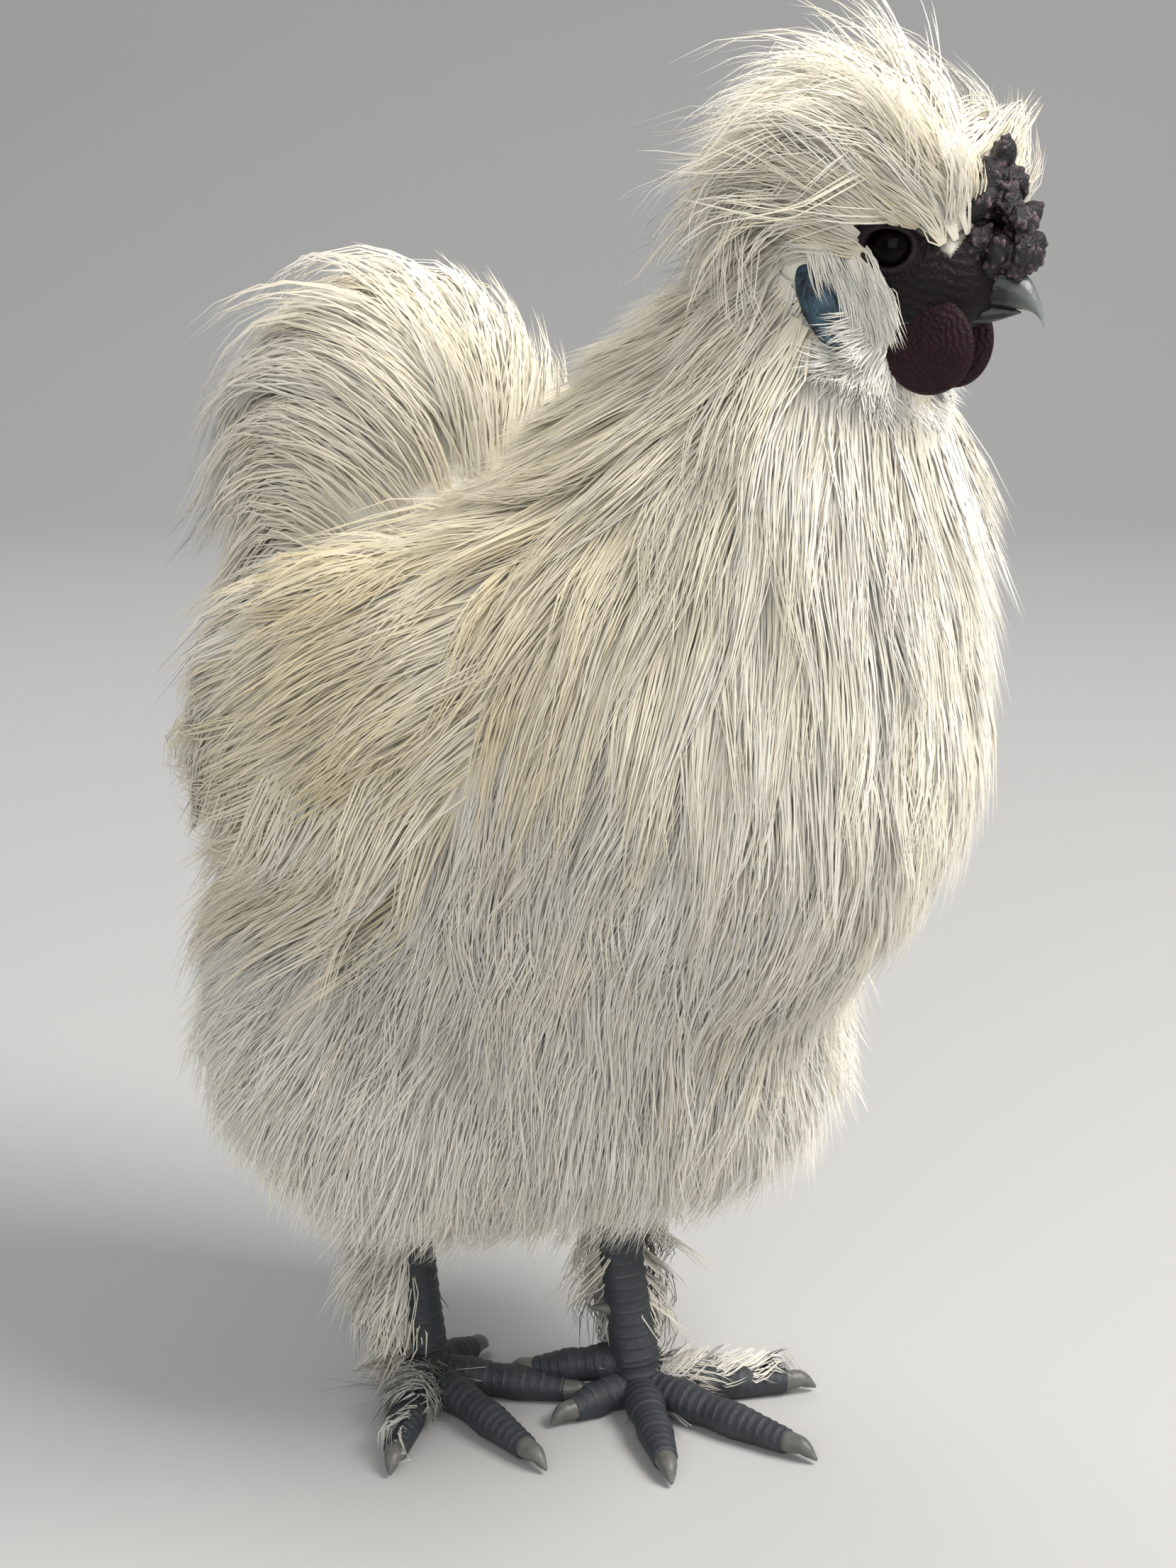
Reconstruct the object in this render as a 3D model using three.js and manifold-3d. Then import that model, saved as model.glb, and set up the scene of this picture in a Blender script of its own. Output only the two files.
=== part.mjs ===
import * as THREE from 'three';
import { mergeVertices } from 'three/addons/utils/BufferGeometryUtils.js';
import Module from 'manifold-3d';

// A silkie cock, life size, standing with the left foot ahead of the right: one closed solid for
// each part of the bird. Millimetres. The bird faces +X, its left side is +Y and the floor is z = 0.
// Flesh and the dense inner half of the coat are ovals. The outer coat is flat, tapered locks that
// are rooted in the ovals and lie over one another.

// Driving dimensions
const GAP = 0.3;
const EYE_HEIGHT = 335;
const HEAD_FORWARD = 123;
const HEAD_TURN = 15;
const HEAD_NOD = 3;
const STRIDE = 51;
const STANCE = 36;
const TOE_OUT = { left: 5, right: -12 };
const SIDES = [['left', 1], ['right', -1]];

const wasm = await Module();
wasm.setup();

const radians = THREE.MathUtils.degToRad;
const vector = (x, y, z) => new THREE.Vector3(x, y, z);

// Joining and cutting

function solid(geometry) {
  geometry.deleteAttribute('normal');
  geometry.deleteAttribute('uv');
  const merged = mergeVertices(geometry, 1e-4);
  return new wasm.Manifold(new wasm.Mesh({
    numProp: 3,
    vertProperties: new Float32Array(merged.attributes.position.array),
    triVerts: new Uint32Array(merged.index.array),
  }));
}

function geometryOf(whole) {
  const mesh = whole.getMesh();
  const geometry = new THREE.BufferGeometry();
  geometry.setAttribute('position', new THREE.BufferAttribute(new Float32Array(mesh.vertProperties), 3));
  geometry.setIndex(new THREE.BufferAttribute(new Uint32Array(mesh.triVerts), 1));
  return geometry;
}

function join(solids) {
  return solids.reduce((whole, next) => whole.add(next));
}

function largest(whole) {
  return whole.decompose().reduce((best, piece) => (piece.volume() > best.volume() ? piece : best));
}

// Ovals, and the smooth surface that lies over several of them

function turned(lean, turn) {
  return new THREE.Matrix4().makeRotationZ(radians(turn))
    .multiply(new THREE.Matrix4().makeRotationY(radians(lean)));
}

// An oval leans about its own Y axis, top towards +X, and is then turned about the upright axis

function oval(at, radii, lean = 0, turn = 0) {
  const placed = turned(lean, turn).setPosition(at);
  const unit = placed.clone().scale(radii).invert();
  return { at, radii, placed, unit };
}

const ovalSolid = (form, detail) => (grow) => {
  const size = form.radii.clone().addScalar(grow);
  return solid(new THREE.IcosahedronGeometry(1, detail).applyMatrix4(form.placed.clone().scale(size)));
};

function heightOver(form, point) {
  const reach = Math.max(point.clone().applyMatrix4(form.unit).length(), 1e-6);
  return (reach - 1) * point.distanceTo(form.at) / reach;
}

const BLEND = 12;

function heightOverAll(forms, point) {
  return forms.map((form) => heightOver(form, point)).reduce((a, b) => {
    const near = Math.max(BLEND - Math.abs(a - b), 0) / BLEND;
    return Math.min(a, b) - near * near * BLEND / 4;
  });
}

function outward(forms, point) {
  const axes = [vector(0.5, 0, 0), vector(0, 0.5, 0), vector(0, 0, 0.5)];
  const slope = axes.map((axis) => heightOverAll(forms, point.clone().add(axis))
    - heightOverAll(forms, point.clone().sub(axis)));
  return vector(...slope).normalize();
}

function settle(forms, point) {
  for (let pass = 0; pass < 3; pass += 1) {
    point.addScaledVector(outward(forms, point), -heightOverAll(forms, point));
  }
  return point;
}

// Swept forms: a tube whose rings take their place, width and thickness from stations on a path

function sweep(stations, sides, pointed) {
  const rings = stations.length - 1;
  const tube = new THREE.CylinderGeometry(pointed ? 0 : 1, 1, 1, sides, rings);
  const position = tube.attributes.position;
  for (let i = 0; i < position.count; i += 1) {
    const ring = Math.round((position.getY(i) + 0.5) * rings);
    const taper = pointed ? Math.max(1 - ring / rings, 1e-9) : 1;
    const { at, side, up, wide, thick } = stations[ring];
    const spot = at.clone()
      .addScaledVector(side, wide * position.getX(i) / taper)
      .addScaledVector(up, thick * position.getZ(i) / taper);
    position.setXYZ(i, spot.x, spot.y, spot.z);
  }
  return tube;
}

function framed(path, ups) {
  return path.map((at, i) => {
    const ahead = path[Math.min(i + 1, path.length - 1)];
    const along = ahead.clone().sub(path[Math.max(i - 1, 0)]).normalize();
    const side = along.clone().cross(ups[i]).normalize();
    return { at, side, up: side.clone().cross(along) };
  });
}

function longer(path, by) {
  const ends = path.map((at) => at.clone());
  const last = path.length - 1;
  ends[0].addScaledVector(path[0].clone().sub(path[1]).normalize(), by);
  ends[last].addScaledVector(path[last].clone().sub(path[last - 1]).normalize(), by);
  return ends;
}

function rod(path, sizes, sides, { pointed = false, flat = 1, up = vector(0, 0, 1), grow = 0 } = {}) {
  const stations = framed(longer(path, grow), path.map(() => up));
  stations.forEach((station, i) => {
    station.wide = sizes[i] + grow;
    station.thick = sizes[i] * flat + grow;
  });
  return sweep(stations, sides, pointed);
}

// Locks: three-sided, flat below and ridged above

const ROOT_DEPTH = 4;
const LOCK_GROW = { wide: 7, thick: 2.4 };

function drawer(seed) {
  let state = seed;
  return (low, high) => {
    state = (state * 1664525 + 1013904223) % 4294967296;
    return low + (high - low) * state / 4294967296;
  };
}

function lockWidth(share) {
  if (share < 0.3) return 0.55 + 1.5 * share;
  return 1 - ((share - 0.3) / 0.7) ** 2;
}

function lock(path, ups, halfWidth, ridge) {
  const stations = framed(path, ups);
  stations.forEach((station, i) => {
    station.wide = halfWidth * lockWidth(i / (path.length - 1));
    station.thick = ridge * lockWidth(i / (path.length - 1));
  });
  const make = (grow) => {
    const fuller = (station, key) => (station[key] > 0 ? station[key] + LOCK_GROW[key] * grow : 0);
    return solid(sweep(stations.map((station) => ({
      ...station, wide: fuller(station, 'wide'), thick: fuller(station, 'thick'),
    })), 3, true));
  };
  return { stations, make };
}

function lyingLock(over, root, lie, { length, rise, wide, ridge, steps = 3 }) {
  const path = [];
  const ups = [];
  const spot = settle(over, root.clone());
  for (let step = 0; step <= steps; step += 1) {
    const share = step / steps;
    const up = outward(over, spot);
    path.push(spot.clone().addScaledVector(up, (rise + ROOT_DEPTH) * share ** 0.8 - ROOT_DEPTH));
    ups.push(up);
    const way = lie(spot);
    way.addScaledVector(up, -way.dot(up)).normalize();
    settle(over, spot.addScaledVector(way, length / steps));
  }
  return lock(path, ups, wide, ridge);
}

function along(stations) {
  return stations.flatMap((a, i) => {
    const b = stations[i + 1];
    if (!b) return [a];
    const between = (key) => (a[key] + b[key]) / 2;
    return [a, { ...a, at: a.at.clone().lerp(b.at, 0.5), wide: between('wide'), thick: between('thick') }];
  });
}

function crosses(mine, theirs, near = 1, apart = 1) {
  return mine.some((a) => theirs.some((b) => {
    const off = a.at.clone().sub(b.at);
    if (off.lengthSq() > 900) return false;
    const high = Math.abs(off.dot(b.up));
    const flat = Math.sqrt(Math.max(off.lengthSq() - high * high, 0));
    return high < (a.thick + b.thick) * near + apart && flat < (a.wide + b.wide) * near + apart;
  }));
}

function spread(form, count) {
  const golden = Math.PI * (3 - Math.sqrt(5));
  return Array.from({ length: count }, (_, i) => {
    const z = 1 - 2 * (i + 0.5) / count;
    const round = Math.sqrt(1 - z * z);
    return onOval(form, round * Math.cos(golden * i), round * Math.sin(golden * i), z);
  });
}

function onOval(form, x, y, z) {
  return vector(x, y, z).multiply(form.radii).applyMatrix4(form.placed);
}

// Roots in rings round the upright axis of an oval, or in arcs from side to side over it

function ring(form, level, apart, shift) {
  const round = Math.sqrt(1 - level * level);
  const count = Math.max(Math.round(Math.PI * round * (form.radii.x + form.radii.y) / apart), 3);
  return Array.from({ length: count }, (_, i) => {
    const angle = 2 * Math.PI * (i + shift) / count;
    return onOval(form, round * Math.cos(angle), round * Math.sin(angle), level);
  });
}

function arc(form, angle, apart, shift, reach = 78) {
  const half = Math.floor(form.radii.y * radians(reach) / apart);
  return Array.from({ length: 2 * half + 1 }, (_, i) => {
    const aside = (i - half + shift) * apart / form.radii.y;
    const [ahead, up] = [Math.cos(radians(angle)), Math.sin(radians(angle))];
    return onOval(form, Math.cos(aside) * ahead, Math.sin(aside), Math.cos(aside) * up);
  });
}

const tiers = (form, levels, apart) => levels.flatMap((level, i) => ring(form, level, apart, 0.5 * (i % 2)));
const arcs = (form, angles, apart) => angles.flatMap((angle, i) => (
  arc(form, angle, apart, 0.5 * (i % 2))
));

const laid = [];

function coat({ on, roots, over, lie, size, where = () => true, seed, swing = 0.16, near = 0.5 }) {
  const pick = drawer(seed);
  const locks = [];
  for (const root of roots) {
    const hidden = over.some((form) => form !== on && heightOver(form, root) < -1.5);
    const sizes = size(root, pick);
    if (!hidden && where(root)) {
      const aside = pick(-swing, swing);
      const way = (spot) => lie(spot).applyAxisAngle(outward(over, spot), aside);
      const next = lyingLock(over, root, way, sizes);
      const { stations } = next;
      const mine = along(stations);
      const low = stations.some((station) => station.at.z < 3);
      const twisted = stations.some(({ side }, i) => i > 0 && side.dot(stations[i - 1].side) < 0.7);
      const own = locks.some((other) => crosses(mine, along(other.stations), near, 0));
      const others = laid.some((theirs) => crosses(mine, theirs, 1, 0.6));
      if (!low && !twisted && !own && !others) locks.push(next);
    }
  }
  return locks;
}

// The forms of the bird

const head = turned(HEAD_NOD, HEAD_TURN).setPosition(HEAD_FORWARD, 0, EYE_HEIGHT);
const onHead = (x, y, z) => vector(x, y, z).applyMatrix4(head);
const headOval = (at, radii) => oval(onHead(...at), vector(...radii), HEAD_NOD, HEAD_TURN);
const fromHead = (spot) => spot.clone().applyMatrix4(head.clone().invert());
const headWay = (x, y, z) => vector(x, y, z).transformDirection(head);

const FORMS = {
  skull: headOval([-7, 0, -3], [26, 16, 16]),
  face: headOval([6, 0, -7], [17, 12.5, 12]),
  throat: headOval([-6, 0, -20], [20, 14, 14]),
  crest: headOval([-9, 0, 15], [25, 22, 15.5]),
  hindhead: headOval([-22, 0, -5], [17, 18.5, 18]),
  nape: oval(vector(90, 0, 288), vector(31, 30, 39), 27),
  neck: oval(vector(70, 0, 246), vector(56, 54, 62), 27),
  breast: oval(vector(56, 0, 206), vector(72, 64, 68)),
  back: oval(vector(-14, 0, 198), vector(86, 60, 56), -6),
  belly: oval(vector(-8, 0, 130), vector(82, 58, 64)),
  tail: oval(vector(-46, 0, 266), vector(38, 38, 50), 8),
};
for (const [side, sign] of SIDES) {
  FORMS[`wing_${side}`] = oval(vector(6, sign * 60, 222), vector(62, 15, 36), -12, -sign * 4);
  FORMS[`thigh_${side}`] = oval(vector(sign * 0.43 * STRIDE, sign * 38, 117), vector(47, 36, 48));
}
const TORSO = [FORMS.breast, FORMS.back, FORMS.belly];
const NECK = [FORMS.neck, FORMS.nape];
const pair = (name) => SIDES.map(([side]) => FORMS[`${name}_${side}`]);
const BODY = [...TORSO, ...NECK, FORMS.tail, ...pair('wing'), ...pair('thigh')];

// Nodes: a part is its joined forms, cut clear of the parts that are placed before it

const bird = new THREE.Group();
const LOOKS = {
  plumage: { color: 0xe9e2cc, roughness: 0.85, metalness: 0 },
  dark_skin: { color: 0x241a1e, roughness: 0.6, metalness: 0 },
  comb: { color: 0x46343c, roughness: 0.6, metalness: 0 },
  earlobe: { color: 0x3f6f86, roughness: 0.5, metalness: 0 },
  eye: { color: 0x0b0808, roughness: 0.1, metalness: 0 },
  horn: { color: 0x59646a, roughness: 0.45, metalness: 0 },
  leg_skin: { color: 0x4b5257, roughness: 0.7, metalness: 0 },
};
const placed = [];

function meets(a, b) {
  const [p, q] = [a.boundingBox(), b.boundingBox()];
  return [0, 1, 2].every((axis) => p.min[axis] < q.max[axis] && q.min[axis] < p.max[axis]);
}

function place(name, look, forms, locks = [], around = null) {
  const makers = [...forms, ...locks.map((next) => next.make)];
  const whole = join(makers.map((make) => make(0)));
  const clear = join((around ?? makers).map((make) => make(GAP)));
  const free = placed.reduce((rest, other) => (meets(rest, other) ? rest.subtract(other) : rest), whole);
  placed.push(clear);
  laid.push(...locks.map((next) => along(next.stations)));
  const mesh = new THREE.Mesh(geometryOf(largest(free)), new THREE.MeshStandardMaterial(LOOKS[look]));
  mesh.name = name;
  bird.add(mesh);
}

// Eyes, bill and comb

const EYE = { out: 11.6, radius: 5.6, lid: 1.6 };
const BILL = {
  upper: {
    at: [[13, 0, -8.5], [22, 0, -8], [29, 0, -9.6], [32.4, 0, -14.6]], size: [6.2, 5.6, 4, 0], flat: 0.9,
  },
  lower: { at: [[12, 0, -15.6], [21, 0, -14.8], [28.4, 0, -14.4]], size: [5.4, 4.2, 0], flat: 0.42 },
};
const COMB = headOval([20, 0, 8], [8.5, 7.5, 12.5]);
const COMB_KNOBS = 9;
const COMB_ROOM = headOval([20, 0, 8], [14.6, 13.6, 18.6]);

const billPart = ({ at, size, flat }) => (grow) => solid(rod(at.map((spot) => onHead(...spot)), size, 8, {
  pointed: true, flat, up: headWay(0, 0, 1), grow,
}));

function knob(at, radius) {
  return (grow) => solid(new THREE.OctahedronGeometry(radius + 2 * grow, 1).translate(at.x, at.y, at.z));
}

for (const [side, sign] of SIDES) {
  const at = onHead(0, sign * EYE.out, 0);
  const ball = (radius, detail) => () => solid(
    new THREE.IcosahedronGeometry(radius, detail).translate(at.x, at.y, at.z),
  );
  place(`eye_${side}`, 'eye', [ball(EYE.radius, 1)], [], [ball(EYE.radius + GAP, 1)]);
}
const nostril = (sign) => ovalSolid(headOval([21.5, sign * 5.2, -7.6], [2.4, 1.6, 1.1]), 0)(0);
place('bill_upper', 'horn', [(grow) => {
  const bill = billPart(BILL.upper)(grow);
  return grow ? bill : bill.subtract(nostril(1)).subtract(nostril(-1));
}]);
place('bill_lower', 'horn', [billPart(BILL.lower)]);

// Head: skull, face and throat with the lids, and a beard of short locks

const lid = (sign) => (grow) => {
  const ring = new THREE.TorusGeometry(EYE.radius, EYE.lid + grow, 3, 10);
  ring.rotateX(Math.PI / 2).scale(1.08, 1, 0.94).translate(0, sign * (EYE.out + 2.8), 0);
  return solid(ring.applyMatrix4(head));
};
const HEAD = [FORMS.skull, FORMS.face, FORMS.throat];
const beard = coat({
  on: FORMS.throat,
  roots: tiers(FORMS.throat, [0.1, -0.45], 11.5),
  over: HEAD,
  lie: () => headWay(-0.35, 0, -1),
  size: (root, pick) => ({ length: pick(14, 19), rise: pick(3, 6), wide: 5.4, ridge: 1.9, steps: 2 }),
  where: (root) => fromHead(root).z < -15 && fromHead(root).x < 9,
  seed: 11,
});
const headFlesh = [...HEAD.map((form) => ovalSolid(form, 2)), lid(1), lid(-1)];
place('head', 'dark_skin', headFlesh, beard);
const knobs = spread(COMB, COMB_KNOBS).map((at, i) => knob(at, 4.3 + (i % 3) * 0.7));
place('comb', 'comb', [ovalSolid(COMB, 1), ...knobs], [], [ovalSolid(COMB_ROOM, 2)]);
for (const [side, sign] of SIDES) {
  const wattle = headOval([9.8, sign * 10.2, -21.6], [10.9, 2.6, 10.9]);
  const fold = headOval([10.5, sign * 12.4, -18.5], [6.5, 1.5, 2]);
  place(`wattle_${side}`, 'dark_skin', [ovalSolid(wattle, 1), ovalSolid(fold, 0)]);
  place(`earlobe_${side}`, 'earlobe', [ovalSolid(headOval([-17, sign * 15, -13], [8, 3, 10]), 1)]);
}

// Crest: a core on the skull and one on the back of the head, with locks that sweep up and back

function crestLie(spot) {
  const off = spot.clone().sub(onHead(0, 0, -2));
  const up = off.dot(headWay(0, 0, 1));
  const ahead = off.dot(headWay(1, 0, 0));
  const aside = off.dot(headWay(0, 1, 0));
  return headWay(-up - 12, aside * 0.7, ahead + 6).normalize();
}
const crest = coat({
  on: FORMS.crest,
  roots: arcs(FORMS.crest, [205, 180, 150, 118, 86, 54, 22], 11.5),
  near: 0.65,
  over: [FORMS.crest, FORMS.skull, FORMS.hindhead, FORMS.nape],
  lie: crestLie,
  size: (root, pick) => ({ length: pick(22, 32), rise: pick(11, 17), wide: 5.8, ridge: 2.2 }),
  seed: 23,
});
const hindCoat = coat({
  on: FORMS.hindhead,
  roots: tiers(FORMS.hindhead, [0.05, -0.5], 12.5),
  over: [FORMS.hindhead, ...NECK],
  lie: () => vector(-0.5, 0, -1),
  size: (root, pick) => ({ length: pick(22, 28), rise: pick(6, 9), wide: 6.2, ridge: 2.2, steps: 2 }),
  where: (root) => fromHead(root).x < -18,
  seed: 27,
});
const crestCores = [FORMS.crest, FORMS.hindhead].map((form) => ovalSolid(form, 2));
place('crest', 'plumage', crestCores, [...crest, ...hindCoat]);

// Neck: a core and the hackle, whose long locks fall over the shoulders

const hackleOver = [...NECK, FORMS.breast, FORMS.back, ...pair('wing')];
const hackle = NECK.flatMap((on, i) => coat({
  on,
  roots: tiers(on, [[0.6, 0.28, -0.05], [0.82, 0.5, 0.1]][i], 20),
  near: 0.65,
  over: hackleOver,
  lie: () => vector(-0.25, 0, -1),
  size: (root, pick) => {
    const length = THREE.MathUtils.mapLinear(root.z, 320, 245, 32, 54);
    return { length: length + pick(-5, 5), rise: pick(8, 13), wide: 9.8, ridge: 2.8 };
  },
  seed: 31 + i,
}));
const neckFloor = (grow) => solid(new THREE.BoxGeometry(300, 300, 200).translate(0, 0, -100 - grow)
  .applyMatrix4(turned(12, 0).setPosition(60, 0, 226)));
const neckFlesh = NECK.map((form) => (grow) => ovalSolid(form, 2)(grow).subtract(neckFloor(grow)));
place('neck', 'plumage', neckFlesh, hackle);

// Wings: a flat core with coverts in rows, and long flight feathers behind and below

for (const [side, sign] of SIDES) {
  const wing = FORMS[`wing_${side}`];
  const rows = [0.8, 0.42, 0.02, -0.38, -0.75].flatMap((x, i) => [-0.6, 0, 0.6].map((z) => {
    const across = (z + (i % 2) * 0.3) * Math.sqrt(1 - x * x);
    return onOval(wing, x, sign * Math.sqrt(Math.max(1 - x * x - across * across, 0)), across);
  }));
  const coverts = coat({
    on: wing,
    roots: rows,
    over: [wing, FORMS.back, FORMS.breast, FORMS.belly, FORMS[`thigh_${side}`]],
    lie: () => vector(-1, 0, -0.5),
    size: (root, pick) => ({ length: pick(46, 58), rise: pick(7, 12), wide: 11, ridge: 2.6, steps: 2 }),
    near: 0.75,
    where: (root) => root.y * sign > 50,
    seed: 42 - sign,
  });
  const flight = coat({
    on: wing,
    roots: [0.25, -0.1, -0.42, -0.72].map((x) => {
      const across = -0.62 * Math.sqrt(1 - x * x);
      return onOval(wing, x, sign * Math.sqrt(Math.max(1 - x * x - across * across, 0)), across);
    }),
    over: [wing, FORMS.back, FORMS.breast, FORMS.belly, FORMS[`thigh_${side}`]],
    lie: () => vector(-1, 0, -0.3),
    size: (root, pick) => ({ length: pick(64, 78), rise: pick(4, 7), wide: 7.5, ridge: 1.6, steps: 3 }),
    seed: 45 - sign,
  });
  place(`wing_${side}`, 'plumage', [ovalSolid(wing, 2)], [...coverts, ...flight]);
}

// Tail: a cushion with plumes that rise, arch over and fall behind

function tailLie(spot) {
  const off = spot.clone().sub(vector(-44, 0, 262));
  return vector(-off.z - 14, off.y * 0.5, off.x + 4).normalize();
}
const tailOver = [FORMS.tail, FORMS.back];
const tailCoat = coat({
  on: FORMS.tail,
  roots: arcs(FORMS.tail, [-5, 35, 75, 115, 155, 190], 20),
  over: tailOver,
  lie: tailLie,
  size: (root, pick) => ({ length: pick(50, 68), rise: pick(12, 22), wide: 9.4, ridge: 2.8, steps: 3 }),
  seed: 51,
});
const sickles = coat({
  on: FORMS.tail,
  roots: [...arc(FORMS.tail, 62, 17, 0, 50), ...arc(FORMS.tail, 100, 17, 0.5, 60)],
  over: tailOver,
  lie: tailLie,
  size: (root, pick) => ({ length: pick(74, 92), rise: pick(30, 42), wide: 6.5, ridge: 2, steps: 5 }),
  seed: 53,
});
place('tail', 'plumage', [ovalSolid(FORMS.tail, 2)], [...tailCoat, ...sickles]);

// Torso: breast, back and belly

const TORSO_LEVELS = [[0.1, -0.22, -0.52], [0.7, 0.3, -0.1, -0.45], [0.2, -0.2, -0.55, -0.84]];
const torsoCoat = TORSO.flatMap((on, i) => coat({
  on,
  roots: tiers(on, TORSO_LEVELS[i], 31),
  near: 0.62,
  over: BODY,
  lie: () => vector(-0.4, 0, -1),
  size: (root, pick) => {
    const under = root.z > 200 && root.x > 0;
    return {
      length: pick(44, 56), rise: under ? 4 : pick(9, 16), wide: 14, ridge: under ? 2.4 : 3.8, steps: 2,
    };
  },
  seed: 61 + i,
}));
place('torso', 'plumage', TORSO.map((form) => ovalSolid(form, 2)), torsoCoat);

// Thighs, shanks and feet

const SHANK = { radius: 6.2, top: 84, lean: 8, ankle: 14 };
const TOE_THICK = 4.6;
const TOES = [
  { name: 'middle', angle: 0, length: 52, claw: 10 },
  { name: 'inner', angle: -43, length: 42, claw: 9 },
  { name: 'outer', angle: 43, length: 44, claw: 9 },
  { name: 'back', angle: -108, length: 22, claw: 8 },
  { name: 'fifth', angle: -155, length: 30, claw: 9, from: 13, to: 7 },
];

function toePath({ angle, length, from = 6, to = 3.4 }) {
  const way = vector(Math.cos(radians(angle)), Math.sin(radians(angle)), 0);
  return [0, 0.5, 1].map((share) => way.clone().multiplyScalar(length * share)
    .setZ(THREE.MathUtils.lerp(from, to, share)));
}

function clawPath(toe) {
  const path = toePath(toe);
  const way = path[2].clone().sub(path[1]).normalize();
  const reach = (far) => path[2].clone().addScaledVector(way, far);
  const tip = reach(toe.claw);
  return [reach(-1.5), reach(toe.claw * 0.55), tip.setZ(Math.max(tip.z - 2.4, 0.8))];
}

function onFloor(geometry) {
  const position = geometry.attributes.position;
  for (let i = 0; i < position.count; i += 1) position.setZ(i, Math.max(position.getZ(i), 0));
  return geometry;
}

for (const [side, sign] of SIDES) {
  const thigh = FORMS[`thigh_${side}`];
  const fluff = coat({
    on: thigh,
    roots: tiers(thigh, [0.72, 0.3, -0.1, -0.5], 26),
    near: 0.5,
    over: BODY,
    lie: () => vector(-0.45, 0, -1),
    size: (root, pick) => ({ length: pick(40, 50), rise: pick(9, 14), wide: 12.5, ridge: 3.4, steps: 2 }),
    where: (root) => root.z > 66,
    seed: 72 - sign,
  });
  place(`thigh_${side}`, 'plumage', [ovalSolid(thigh, 2)], fluff);

  const foot = turned(0, TOE_OUT[side]).setPosition(sign * STRIDE / 2, sign * STANCE / 2, 0);
  const ankle = vector(-0.5, 0, SHANK.ankle);
  const hock = vector(-Math.tan(radians(SHANK.lean)) * SHANK.top, 0, SHANK.top);
  const column = [vector(2, 0, 4), ankle];
  const upright = { up: vector(1, 0, 0) };
  const toes = TOES.map((toe) => ({ ...toe, angle: toe.angle * sign }));
  const sole = (toe) => (grow) => {
    const sizes = [TOE_THICK + 0.8, TOE_THICK, TOE_THICK - 1.2];
    return solid(onFloor(rod(toePath(toe), sizes, 6, { grow })).applyMatrix4(foot));
  };
  place(`foot_${side}`, 'leg_skin', [
    (grow) => solid(rod(column, [7, 6], 8, { ...upright, grow }).applyMatrix4(foot)), ...toes.map(sole),
  ]);
  for (const toe of toes) {
    place(`claw_${side}_${toe.name}`, 'horn', [(grow) => solid(
      onFloor(rod(clawPath(toe), [2.9, 2.2, 0], 5, { pointed: true, grow })).applyMatrix4(foot),
    )]);
  }
  const shank = [ankle.clone().setZ(SHANK.ankle - 2), ankle.clone().lerp(hock, 0.5), hock];
  place(`shank_${side}`, 'leg_skin', [(grow) => solid(
    rod(shank, [6, SHANK.radius, 7], 8, { ...upright, grow }).applyMatrix4(foot),
  )]);
  const vaneAt = vector(-7, sign * 8, 46).applyMatrix4(foot);
  const vane = oval(vaneAt, vector(6, 5.5, 34), SHANK.lean, TOE_OUT[side]);
  const outside = (level, angle) => {
    const round = Math.sqrt(1 - level * level);
    const around = radians(sign * angle);
    return onOval(vane, round * Math.cos(around), round * Math.sin(around), level);
  };
  const stocking = coat({
    on: vane,
    roots: [0.45, 0, -0.45, -0.8].flatMap((level, i) => [45, 105, 165]
      .map((angle) => outside(level, angle + 14 * (i % 2)))),
    over: [vane],
    lie: (spot) => vector(-0.1, sign * (spot.z > 40 ? 0.4 : 0.7), -1),
    size: (root, pick) => ({ length: pick(18, 24), rise: pick(15, 24), wide: 5.4, ridge: 2.2, steps: 2 }),
    seed: 100 - sign,
    near: 0.3,
  });
  place(`leg_feathers_${side}`, 'plumage', [ovalSolid(vane, 1)], stocking);
  const spur = [2, 8, 14].map((far) => vector(-0.8 * far, -sign * 0.6 * far, 29 + 0.05 * far));
  place(`spur_${side}`, 'horn', [(grow) => solid(
    rod(spur, [3, 2.6, 0], 6, { pointed: true, grow }).applyMatrix4(foot),
  )]);
}

// Origin at the middle of the footprint
const box = new THREE.Box3().setFromObject(bird);
bird.position.set(-(box.min.x + box.max.x) / 2, -(box.min.y + box.max.y) / 2, -box.min.z);

export default bird;
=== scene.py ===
# A silkie cock, life size, standing with the left foot ahead. Metres, the bird faces +X, up is +Z.
import math
import bmesh
import bpy
import numpy as np
from mathutils import Matrix, Vector


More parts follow.
